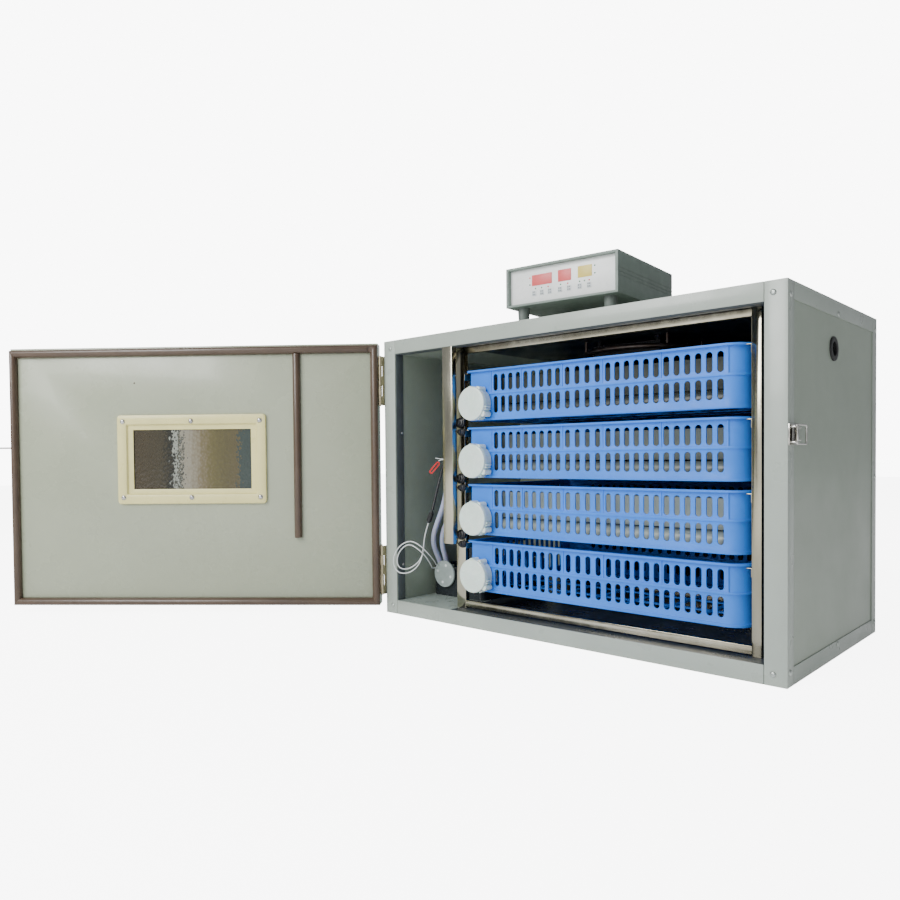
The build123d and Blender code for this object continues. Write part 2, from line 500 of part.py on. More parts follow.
def hinges():
    cabinet_leaves, door_leaves, pins = [], [], []
    tall = (HINGE_TALL - KNUCKLE_GAP * (KNUCKLES - 1)) / KNUCKLES
    for bottom in HINGE_BOTTOMS:
        z = (bottom, bottom + HINGE_TALL)
        cabinet_leaf = block((-HALF_W - HINGE_LEAF, -HALF_W), (PIVOT_Y + 4.6, -176), z)
        door_leaf = block((DOOR_X0 - HINGE_LEAF, DOOR_X0), (-236, PIVOT_Y - KNUCKLE_R), z)
        for index in range(KNUCKLES):
            low = bottom + index * (tall + KNUCKLE_GAP)
            ends = (PIVOT_X, PIVOT_Y, low), (PIVOT_X, PIVOT_Y, low + tall)
            if index % 2:
                door_leaf += rod(*ends, KNUCKLE_R)
                leaf_y = (PIVOT_Y - KNUCKLE_R, PIVOT_Y - KNUCKLE_R + HINGE_LEAF)
                door_leaf += block((PIVOT_X, DOOR_X0), leaf_y, (low, low + tall))
                door_leaf -= rod(*ends, PIN_R + RUNNING)
            else:
                cabinet_leaf += rod(*ends, KNUCKLE_R)
                cabinet_leaf += block((-HALF_W - HINGE_LEAF, -HALF_W), (PIVOT_Y + 1.5, PIVOT_Y + 4.6),
                                      (low, low + tall))
                cabinet_leaf -= rod(*ends, PIN_R)
        cabinet_leaves.append(cabinet_leaf)
        door_leaves.append(door_leaf)
        pins.append(rod((PIVOT_X, PIVOT_Y, bottom - 1), (PIVOT_X, PIVOT_Y, bottom + HINGE_TALL + 1), PIN_R))
        for step in (15, 45, 75):
            cabinet_leaves.append(dome((-HALF_W - HINGE_LEAF, -188, bottom + step), (-1, 0, 0), 3, 0.9))
            door_leaves.append(dome((DOOR_X0 - HINGE_LEAF, -224, bottom + step), (-1, 0, 0), 3, 0.9))
    save("hinge_cabinet_leaves", *cabinet_leaves)
    save("hinge_pins", *pins)
    save("hinge_door_leaves", *[swung(s) for s in door_leaves])


def gasket_strip(start, end, inward, mitred=(True, True)):
    """A half-round rubber strip on the door's inner face, its outer edge from start to end, both (x, z)."""
    start, end = Vector(start[0], 0, start[1]), Vector(end[0], 0, end[1])
    along, length = (end - start).normalized(), (end - start).length
    flat, crown = GASKET_TALL - GASKET_WIDE / 2, GASKET_WIDE / 2
    profile = Polyline((0, 0), (GASKET_WIDE, 0), (GASKET_WIDE, flat))
    profile += ThreePointArc((GASKET_WIDE, flat), (crown, GASKET_TALL), (0, flat))
    profile += Line((0, flat), (0, 0))
    plane = Plane(origin=Vector(start.X, DOOR_IN_Y, start.Z), x_dir=inward, z_dir=along)
    if (plane.y_dir - Vector(0, 1, 0)).length > 0.01:
        plane = Plane(origin=Vector(end.X, DOOR_IN_Y, end.Z), x_dir=inward, z_dir=-along)
    strip = extrude(plane * make_face(profile), length)
    ends = [(0, 0), (GASKET_WIDE if mitred[0] else 0, GASKET_WIDE),
            (length - (GASKET_WIDE if mitred[1] else 0), GASKET_WIDE), (length, 0)]
    corner = Vector(start.X, DOOR_IN_Y, start.Z)
    outline = Plane(origin=corner, x_dir=along, z_dir=along.cross(Vector(*inward)))
    return strip & extrude(outline * make_face(Polyline(*ends, close=True)), GASKET_TALL + 1, both=True)


def door():
    z = (DOOR_Z0, DOOR_Z1)
    cut_w, cut_h = GLASS_W / 2 + CUT_MARGIN, GLASS_H / 2 + CUT_MARGIN
    hole_x, hole_z = (WINDOW_X - cut_w, WINDOW_X + cut_w), (WINDOW_Z - cut_h, WINDOW_Z + cut_h)
    panel = block((DOOR_X0, DOOR_X1), (DOOR_OUT_Y, DOOR_IN_Y), z)
    panel -= block(hole_x, (DOOR_OUT_Y - 1, DOOR_IN_Y + 1), hole_z)
    save("door_panel", swung(panel))

    corners = [(DOOR_X0, z[0]), (DOOR_X1, z[0]), (DOOR_X1, GASKET_TOP), (DOOR_X0, GASKET_TOP)]
    inward = [(0, 0, 1), (-1, 0, 0), (0, 0, -1), (1, 0, 0)]
    strips = [gasket_strip(corners[i], corners[(i + 1) % 4], inward[i]) for i in range(4)]
    divider_x = DOOR_X0 + 144
    divider_top = (divider_x, GASKET_TOP - GASKET_WIDE)
    strips.append(gasket_strip((divider_x, 140), divider_top, (1, 0, 0), (False, False)))
    crown_y = DOOR_IN_Y + GASKET_TALL
    for rivet_z in (FRONT_RIVET_Z, HEIGHT - FRONT_RIVET_Z):
        pocket_ends = [(-FRONT_RIVET_X, crown_y + dy, rivet_z) for dy in (-RIVET_RISE - 0.4, 1)]
        pocket = rod(*pocket_ends, RIVET_R + 0.6)
        strips = [strip - pocket for strip in strips]
    save("door_gaskets", *[swung(s) for s in strips])

    frames, panes = [], []
    for face, out in ((DOOR_IN_Y, 1), (DOOR_OUT_Y, -1)):
        plane = Plane(origin=(WINDOW_X, face, WINDOW_Z), x_dir=(1, 0, 0), z_dir=(0, out, 0))
        frame = plane * extrude(RectangleRounded(FRAME_W, FRAME_H, 6), FRAME_T)
        rim = frame.faces().sort_by(Axis.Y)[-1 if out > 0 else 0]
        frame = fillet(rim.edges(), 2)
        frame -= plane * extrude(Rectangle(GLASS_W, GLASS_H), FRAME_T + 1)
        frames.append(frame)
        depths = sorted((face - out * 2.0, face - out * (2.0 + GLASS_T)))
        panes.append(block(hole_x, depths, hole_z))
    save("window_frame", *[swung(s) for s in frames])
    save("window_panes", *[swung(s) for s in panes])

    screws = []
    for face, out in ((DOOR_IN_Y + FRAME_T, 1), (DOOR_OUT_Y - FRAME_T, -1)):
        for dx in (-1, 0, 1):
            for dz in (-1, 1):
                spot = (WINDOW_X + dx * (FRAME_W / 2 - 11), face, WINDOW_Z + dz * (FRAME_H / 2 - 12))
                screws.append(dome(spot, (0, out, 0), 4, 2.4))
    save("window_screws", *[swung(s) for s in screws])


def controller():
    w, d, h, wall, lip = CASE_W, CASE_D, CASE_H, CASE_WALL, CASE_LIP
    shells = []
    for low, high, skin in ((0, h / 2, (wall + 1, h)), (h / 2, h, (-1, h - wall - 1))):
        shell = block((0, w), (0, d), (low, high)) - block((wall + 2, w - wall - 2), (-1, d + 1), skin)
        for z in (h / 2 - 6, h / 2 - 0.6, h / 2 + 5):
            for x in ((-1, GROOVE), (w - GROOVE, w + 1)):
                shell -= block(x, (6, d + 1), (z, z + 1.2))
        shells.append(shell)
    save("controller_bottom_shell", seated(shells[0]))
    save("controller_top_shell", seated(shells[1]))
    inner_x, inner_z = (wall + 2, w - wall - 2), (wall + 1, h - wall - 1)
    front, rear = block(inner_x, (lip, lip + 2), inner_z), block(inner_x, (d - lip, d - lip + 2), inner_z)
    save("controller_panels", seated(front), seated(rear))

    lights = [block((x0, x1), (lip - 0.8, lip), (z0, z1)) for x0, x1, z0, z1 in DISPLAYS]
    lights += [rod((x, lip - 0.8, z), (x, lip, z), 1.3) for x, z in LAMPS]
    save("display_lights", *[seated(s) for s in lights])
    keys = [block((x - KEY_W / 2, x + KEY_W / 2), (lip - 0.6, lip), (KEY_Z - KEY_H / 2, KEY_Z + KEY_H / 2))
            for x in KEY_XS]
    save("keypad_keys", *[seated(s) for s in keys])

    stand = CASE[2] - (HEIGHT - SHEET)
    feet = [Cone(FOOT_R - 2, FOOT_R, stand, align=(Align.CENTER, Align.CENTER, Align.MAX))] * 4
    places = [(20, 22), (w - 23, 22), (20, d - 22), (w - 23, d - 22)]
    save("controller_feet", *[seated(Pos(x, y, 0) * foot) for foot, (x, y) in zip(feet, places)])

    board = block((28, 168), (40, 160), (12, 13.6))
    posts = [rod((x, y, wall + 1), (x, y, 12), 3) for x in (33, 163) for y in (45, 155)]
    parts = [block((40, 82), (100, 140), (13.6, 46)), block((100, 116), (110, 130), (13.6, 30)),
             block((124, 140), (110, 130), (13.6, 30)), rod((60, 70, 13.6), (60, 70, 38), 9)]
    save("control_board", *[seated(s) for s in (board, *posts, *parts)])

    rear_y = d - lip + 2
    inlet = block((30, 60), (rear_y, rear_y + 4), (18, 42))
    inlet -= block((33, 57), (rear_y + 1, rear_y + 5), (22, 38))
    inlet += rod((45, rear_y, 30), (45, rear_y + 4, 30), 2)
    glands = [rod((x, rear_y, 30), (x, rear_y + 5, 30), 8) + rod((x, rear_y, 30), (x, rear_y + 5.8, 30), 5)
              for x in (110, 140)]
    back = Plane(origin=(150, HALF_D - SHEET, 440), z_dir=(0, 1, 0))
    gland = back * (extrude(RegularPolygon(10, 6), 5) + Pos(0, 0, 5) * extrude(Circle(7), 5))
    save("rear_inlets", *[seated(s) for s in (inlet, *glands)], gland)


def main():
    os.makedirs("parts", exist_ok=True)
    for make in (cabinet, rivets, rack, divider_strip, trays, fan_and_heater, water_pan, lines,
                 vent_grommet, draw_latch, keeper, hinges, door, controller):
        make()


main()
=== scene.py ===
import math

import bmesh
import bpy
from bpy.props import FloatProperty, FloatVectorProperty, PointerProperty
from bpy.types import Operator, Panel, PropertyGroup
from mathutils import Matrix, Vector


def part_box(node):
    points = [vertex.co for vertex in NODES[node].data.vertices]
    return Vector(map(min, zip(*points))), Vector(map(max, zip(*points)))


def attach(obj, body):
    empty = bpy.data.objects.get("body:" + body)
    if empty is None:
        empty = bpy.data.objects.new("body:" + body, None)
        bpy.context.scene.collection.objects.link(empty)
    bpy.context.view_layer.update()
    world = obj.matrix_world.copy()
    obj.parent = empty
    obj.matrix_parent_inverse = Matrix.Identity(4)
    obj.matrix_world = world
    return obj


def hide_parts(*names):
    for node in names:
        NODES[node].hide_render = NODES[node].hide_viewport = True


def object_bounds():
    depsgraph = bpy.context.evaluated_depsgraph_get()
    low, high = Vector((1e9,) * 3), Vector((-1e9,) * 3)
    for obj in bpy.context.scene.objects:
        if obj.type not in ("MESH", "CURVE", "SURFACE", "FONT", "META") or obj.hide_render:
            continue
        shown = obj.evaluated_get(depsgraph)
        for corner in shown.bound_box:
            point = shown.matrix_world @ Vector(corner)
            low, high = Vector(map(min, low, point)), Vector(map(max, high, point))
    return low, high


bl_info = {
    "name": "Cabinet Egg Incubator",
    "version": (1, 0, 0),
    "blender": (4, 5, 0),
    "location": "3D View > Sidebar > Incubator",
    "description": "Builds the finished look of a four-tray cabinet egg incubator on its packed frame",
    "category": "Add Mesh",
}

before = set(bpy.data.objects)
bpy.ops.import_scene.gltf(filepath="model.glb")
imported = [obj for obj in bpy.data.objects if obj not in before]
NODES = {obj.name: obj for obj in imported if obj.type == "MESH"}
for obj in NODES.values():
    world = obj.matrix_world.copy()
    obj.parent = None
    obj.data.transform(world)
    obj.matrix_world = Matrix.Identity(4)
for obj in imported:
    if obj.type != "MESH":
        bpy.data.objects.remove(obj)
CAD_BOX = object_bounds()
MM = 0.001
TRAY_NUMBERS = (1, 2, 3, 4)

# The door is drawn closed and swung open about its pins; the controller stands a little askew on the roof.
HINGE_PIN = Vector((-361.5, -208.5, 0.0)) * MM
DOOR_SWING = (Matrix.Translation(HINGE_PIN) @ Matrix.Rotation(math.radians(-140), 4, "Z")
              @ Matrix.Translation(-HINGE_PIN))
CASE_SEAT = (Matrix.Translation(Vector((-92.4, -174.8, 528.0)) * MM)
             @ Matrix.Rotation(math.radians(4.87), 4, "Z"))

# Routes of the flexible lines in millimetres, each from where it leaves its fitting.
WIRE_A = [(-283, -166, 166.9), (-287, -169, 152), (-287, -174, 134), (-283, -181, 114), (-282, -189, 97),
          (-292, -196, 83), (-309, -202, 76), (-328, -205, 79), (-337, -205, 98), (-327, -205, 119),
          (-310, -202, 133), (-292, -198, 137), (-276, -191, 127), (-271, -176, 111), (-278, -156, 97),
          (-291, -139, 89), (-303, -126, 85), (-309, -114.6, 83)]
WIRE_B = [(-285, -163, 167.3), (-290, -165, 152), (-290, -170, 134), (-286, -176, 116), (-287, -184, 101),
          (-296, -191, 90), (-311, -197, 83), (-324, -202, 86), (-329, -203, 99), (-323, -202, 115),
          (-311, -199, 127), (-298, -197, 130), (-284, -193, 123), (-276, -182, 110), (-281, -163, 92),
          (-294, -146, 82), (-307, -130, 78.5), (-313, -114.6, 78)]
SENSOR = [(-257, -139, 474.8), (-258, -141, 418), (-256, -140, 362), (-259, -138, 316), (-266, -139, 282),
          (-273, -142, 256), (-275, -149, 232), (-275, -157, 209), (-275.6, -162.7, 190.8)]
HOSE_A = [(-270, -126, 474.8), (-270, -125, 420), (-269, -126, 362), (-271, -126, 306), (-270, -127, 256),
          (-276, -126, 216), (-288, -124, 188), (-302, -123, 163), (-312, -122, 142), (-318, -117, 122),
          (-320, -108, 106), (-318, -98, 86), (-318, -93, 60), (-319, -92, 34)]
HOSE_B = [(-270, -110, 474.8), (-270, -109, 412), (-269, -110, 350), (-271, -109, 292), (-269, -109, 240),
          (-273, -110, 202), (-284, -111, 173), (-301, -109, 146), (-307, -105, 120), (-307, -95, 94),
          (-305, -88, 64), (-305, -86, 34)]

# The window frame's section as (width, height, rise above the door's face, corner radius) of each loop.
FRAME_SECTION = [(281, 166, 0, 6), (281, 166, 3.4, 6), (280, 165, 4.5, 5.6), (278, 163, 5, 4.8),
                 (248, 133, 5, 2.4), (246.6, 131.6, 4.6, 2), (243, 128, 0.9, 1.4), (226, 114, 0.6, 0.8),
                 (223, 111, 0.1, 0.6), (223, 111, 0, 0.6)]
WINDOW_X, WINDOW_Z = -7.0, 287.0
DISC_X, DISC_Z, DISC_FACE_Y = -294.5, 67.0, -114.0
MOTOR_X, MOTOR_DROP, CAP_FACE_Y = -155.0, 57.0, -194.0


def colour(name, description, default):
    return FloatVectorProperty(name=name, description=description, subtype="COLOR", size=3,
                               min=0.0, max=1.0, default=default)


def length(name, description, default):
    return FloatProperty(name=name, description=description, subtype="DISTANCE", unit="LENGTH",
                         min=0.0, default=default)


class CabinetLook(PropertyGroup):
    rail_paint: colour("Rail paint", "Paint on the folded edge angles", (0.355, 0.40, 0.355))
    side_paint: colour("Side paint", "Paint on the cabinet's side and inner panels", (0.29, 0.34, 0.275))
    floor_paint: colour("Floor paint", "Paint on the floor of the service bay", (0.36, 0.42, 0.38))
    # Near-black painted shade for the floor below the trays.
    floor_painted_shade: colour("Floor mat", "Dark floor below the trays", (0.045, 0.055, 0.065))
    # Near-black painted shade for the walls and ceiling of the tray bay.
    bay_painted_shade: colour("Tray bay", "Dark walls and ceiling of the tray bay", (0.012, 0.022, 0.034))
    steel: colour("Stainless steel", "Polished stainless of the rack and the divider strip",
                  (0.60, 0.575, 0.46))
    fold: length("Fold radius", "Outer radius of the folded edge angles", 0.0006)
    tube_round: length("Tube corner", "Corner radius of the rack's square tubes", 0.0012)


class BayLook(PropertyGroup):
    wire_jacket: colour("Wire jacket", "Jacket of the atomiser's twin lead", (0.72, 0.75, 0.74))
    hose: colour("Hose", "Clouded soft hose of the water supply", (0.42, 0.46, 0.62))
    pan: colour("Water pan", "Moulded plastic of the water pan", (0.018, 0.022, 0.026))
    disc: colour("Atomiser disc", "Face of the atomiser disc", (0.36, 0.42, 0.40))
    tag: colour("Marker tag", "Loop that marks the sensor lead", (0.75, 0.02, 0.02))


class TrayLook(PropertyGroup):
    basket: colour("Basket", "Moulded plastic of the egg trays", (0.034, 0.215, 0.78))
    cap: colour("Motor cap", "Cap over each turning motor", (0.70, 0.82, 0.75))
    roller: colour("Roller", "Plastic of the egg rollers and dividers", (0.44, 0.50, 0.43))
    edge_round: length("Edge round", "Rounding of the basket's moulded edges", 0.0005)


class DoorLook(PropertyGroup):
    skin: colour("Door skin", "Paint on both faces of the door", (0.34, 0.37, 0.27))
    edge: colour("Door edge", "Green film on the door's hinge edge", (0.20, 0.36, 0.24))
    gasket: colour("Gasket", "Half-round door gasket", (0.078, 0.050, 0.031))
    window_frame: colour("Window frame", "Moulded window frame", (0.74, 0.68, 0.29))
    hinge: colour("Hinge", "Zinc plating of the hinges", (0.52, 0.46, 0.30))


class ControllerLook(PropertyGroup):
    case: colour("Case", "Moulded plastic of the controller case", (0.19, 0.24, 0.21))
    face: colour("Face", "White front panel", (0.80, 0.82, 0.80))
    red: colour("Red display", "Lens over the red digits", (0.62, 0.10, 0.10))
    yellow: colour("Yellow display", "Lens over the yellow digits", (0.62, 0.50, 0.12))
    foot: colour("Feet", "Rubber of the controller's feet", (0.13, 0.155, 0.14))


class StageLook(PropertyGroup):
    floor: colour("Floor", "Plain pale studio floor", (0.90, 0.90, 0.90))
    floor_glow: FloatProperty(name="Floor glow", min=0.0, default=0.30,
                              description="Light that the floor gives, as a lit table does")
    floor_seen: FloatProperty(name="Floor brightness", min=0.0, default=7.0,
                              description="Brightness of the floor as the camera sees it")
    key: FloatProperty(name="Key light", description="Power of the large light over the front left",
                       unit="POWER", min=0.0, default=88.0)
    fill: FloatProperty(name="Fill light", description="Power of the soft light low at the front",
                        unit="POWER", min=0.0, default=10.0)
    backdrop: FloatProperty(name="Backdrop", description="Brightness of the plain backdrop", min=0.0,
                            default=9.0)
    world: FloatProperty(name="Room light", description="Strength of the even light from all round",
                         min=0.0, default=0.40)


# ---------------------------------------------------------------- shader groups and finishes

def group_with(name, inputs, outputs):
    """A new shader node group with its named sockets, and its input and output nodes."""
    tree = bpy.data.node_groups.new(name, "ShaderNodeTree")
    for label, kind, default in inputs:
        socket = tree.interface.new_socket(label, in_out="INPUT", socket_type=kind)
        socket.default_value = default
    for label, kind in outputs:
        tree.interface.new_socket(label, in_out="OUTPUT", socket_type=kind)
    return tree, tree.nodes.new("NodeGroupInput"), tree.nodes.new("NodeGroupOutput")


def stretched(tree, source, factors):
    """Object coordinates multiplied by a scale vector."""
    coordinates = tree.nodes.new("ShaderNodeTexCoord")
    mapping = tree.nodes.new("ShaderNodeMapping")
    tree.links.new(coordinates.outputs["Object"], mapping.inputs["Vector"])
    tree.links.new(source.outputs[factors], mapping.inputs["Scale"])
    return mapping.outputs["Vector"]


def ramped(tree, value, low, high):
    """A value stretched so that low becomes zero and high becomes one."""
    ramp = tree.nodes.new("ShaderNodeMapRange")
    ramp.inputs["From Min"].default_value = low
    ramp.inputs["From Max"].default_value = high
    tree.links.new(value, ramp.inputs["Value"])
    return ramp.outputs["Result"]


def soft_mottling():
    """Cloudy, uneven patches, as in sprayed paint or handled plastic."""
    tree, given, made = group_with("Soft Mottling", [("Scale", "NodeSocketVector", (6, 6, 6))],
                                   [("Mask", "NodeSocketFloat")])
    noise = tree.nodes.new("ShaderNodeTexNoise")
    noise.inputs["Scale"].default_value = 1.0
    noise.inputs["Detail"].default_value = 5.0
    noise.inputs["Roughness"].default_value = 0.55
    tree.links.new(stretched(tree, given, "Scale"), noise.inputs["Vector"])
    tree.links.new(ramped(tree, noise.outputs["Fac"], 0.32, 0.68), made.inputs["Mask"])
    return tree


def pebbled_skin():
    """Fine orange peel or moulded grain, as a height."""
    tree, given, made = group_with("Pebbled Skin", [("Scale", "NodeSocketVector", (900, 900, 900))],
                                   [("Height", "NodeSocketFloat")])
    where = stretched(tree, given, "Scale")
    noise = tree.nodes.new("ShaderNodeTexNoise")
    noise.inputs["Scale"].default_value = 1.0
    noise.inputs["Detail"].default_value = 2.0
    tree.links.new(where, noise.inputs["Vector"])
    tree.links.new(noise.outputs["Fac"], made.inputs["Height"])
    return tree


def settled_dust():
    """A thin film of dust on faces that look up."""
    tree, given, made = group_with("Settled Dust", [("Scale", "NodeSocketVector", (14, 14, 14))],
                                   [("Mask", "NodeSocketFloat")])
    geometry = tree.nodes.new("ShaderNodeNewGeometry")
    split = tree.nodes.new("ShaderNodeSeparateXYZ")
    tree.links.new(geometry.outputs["Normal"], split.inputs["Vector"])
    noise = tree.nodes.new("ShaderNodeTexNoise")
    noise.inputs["Scale"].default_value = 1.0
    noise.inputs["Detail"].default_value = 8.0
    tree.links.new(stretched(tree, given, "Scale"), noise.inputs["Vector"])
    both = tree.nodes.new("ShaderNodeMath")
    both.operation = "MULTIPLY"
    tree.links.new(ramped(tree, split.outputs["Z"], 0.4, 0.95), both.inputs[0])
    tree.links.new(ramped(tree, noise.outputs["Fac"], 0.35, 0.75), both.inputs[1])
    tree.links.new(both.outputs["Value"], made.inputs["Mask"])
    return tree


def hammered_glass():
    """Rounded dimples that run together, as rolled into patterned glass."""
    tree, given, made = group_with("Hammered Glass", [("Scale", "NodeSocketVector", (110, 110, 60))],
                                   [("Height", "NodeSocketFloat"), ("Mask", "NodeSocketFloat")])
    where = stretched(tree, given, "Scale")
    cells = tree.nodes.new("ShaderNodeTexVoronoi")
    cells.feature = "SMOOTH_F1"
    cells.inputs["Scale"].default_value = 1.0
    cells.inputs["Smoothness"].default_value = 0.6
    noise = tree.nodes.new("ShaderNodeTexNoise")
    noise.inputs["Scale"].default_value = 0.11
    noise.inputs["Detail"].default_value = 3.0
    for texture in (cells, noise):
        tree.links.new(where, texture.inputs["Vector"])
    tree.links.new(cells.outputs["Distance"], made.inputs["Height"])
    tree.links.new(ramped(tree, noise.outputs["Fac"], 0.38, 0.62), made.inputs["Mask"])
    return tree


class Finish:
    """One Principled material, with helpers that hang the shared groups on it."""

    def __init__(self, name, metallic=0.0, coat=0.0, specular=0.5, ior=1.5):
        self.material = bpy.data.materials.new(name)
        self.material.use_nodes = True
        self.tree = self.material.node_tree
        self.shader = self.tree.nodes["Principled BSDF"]
        self.shader.inputs["Metallic"].default_value = metallic
        self.shader.inputs["Specular IOR Level"].default_value = specular
        self.shader.inputs["IOR"].default_value = ior
        if coat:
            self.shader.inputs["Coat Weight"].default_value = coat
            self.shader.inputs["Coat Roughness"].default_value = 0.08

    def group(self, name, scale, output="Mask"):
        node = self.tree.nodes.new("ShaderNodeGroup")
        node.node_tree = bpy.data.node_groups[name]
        node.inputs["Scale"].default_value = scale if isinstance(scale, tuple) else (scale,) * 3
        return node.outputs[output]

    def blend(self, mask, first, second):
        """Two colours, or sockets, mixed by a mask."""
        mix = self.tree.nodes.new("ShaderNodeMix")
        mix.data_type = "RGBA"
        self.tree.links.new(mask, mix.inputs[0])
        for socket, value in ((mix.inputs[6], first), (mix.inputs[7], second)):
            if isinstance(value, bpy.types.NodeSocket):
                self.tree.links.new(value, socket)
            else:
                socket.default_value = (*value[:3], 1.0)
        return mix.outputs[2]

    def scaled(self, mask, low, high):
        """A mask turned into a value between low and high."""
        ramp = self.tree.nodes.new("ShaderNodeMapRange")
        ramp.inputs["To Min"].default_value = low
        ramp.inputs["To Max"].default_value = high
        self.tree.links.new(mask, ramp.inputs["Value"])
        return ramp.outputs["Result"]

    def feed(self, socket, output):
        self.tree.links.new(output, self.shader.inputs[socket])

    def relief(self, height, strength, distance):
        bump = self.tree.nodes.new("ShaderNodeBump")
        bump.inputs["Strength"].default_value = strength
        bump.inputs["Distance"].default_value = distance
        self.tree.links.new(height, bump.inputs["Height"])
        self.feed("Normal", bump.outputs["Normal"])


def shade(tint, factor):
    return tuple(min(1.0, channel * factor) for channel in tint)


def surface(name, tint, spread=0.08, rough=(0.35, 0.5), patch=7.0, grain=(900.0, 0.15), dust=0.0, **shader):
    """A painted, moulded or rubber surface: mottled colour, uneven sheen, fine grain and a little dust."""
    made = Finish(name, **shader)
    patches = made.group("Soft Mottling", patch)
    body = made.blend(patches, shade(tint, 1 - spread), shade(tint, 1 + spread))
    if dust:
        film = made.scaled(made.group("Settled Dust", 16.0), 0.0, dust)
        body = made.blend(film, body, (0.62, 0.61, 0.57))
    made.feed("Base Color", body)
    made.feed("Roughness", made.scaled(made.group("Soft Mottling", patch * 3.1), *rough))
    made.relief(made.group("Pebbled Skin", grain[0], "Height"), grain[1], 0.0002)
    return made


def steel(name, tint, stretch, streak_tone=(0.16, 0.13, 0.10), rough=(0.10, 0.26), spread=0.10):
    """Polished sheet metal, drawn along one direction, that carries long soft darker streaks."""
    made = Finish(name, metallic=1.0)
    long_streaks = made.group("Soft Mottling", tuple(s * 0.16 for s in stretch))
    fine = made.group("Soft Mottling", stretch)
    body = made.blend(fine, shade(tint, 1 - spread), shade(tint, 1 + spread))
    made.feed("Base Color", made.blend(made.scaled(long_streaks, 0.0, 0.75), body, streak_tone))
    made.feed("Roughness", made.scaled(fine, *rough))
    made.relief(made.group("Pebbled Skin", tuple(s * 3 for s in stretch), "Height"), 0.06, 0.0002)
    return made


def make_groups():
    for maker in (soft_mottling, pebbled_skin, settled_dust, hammered_glass):
        maker()


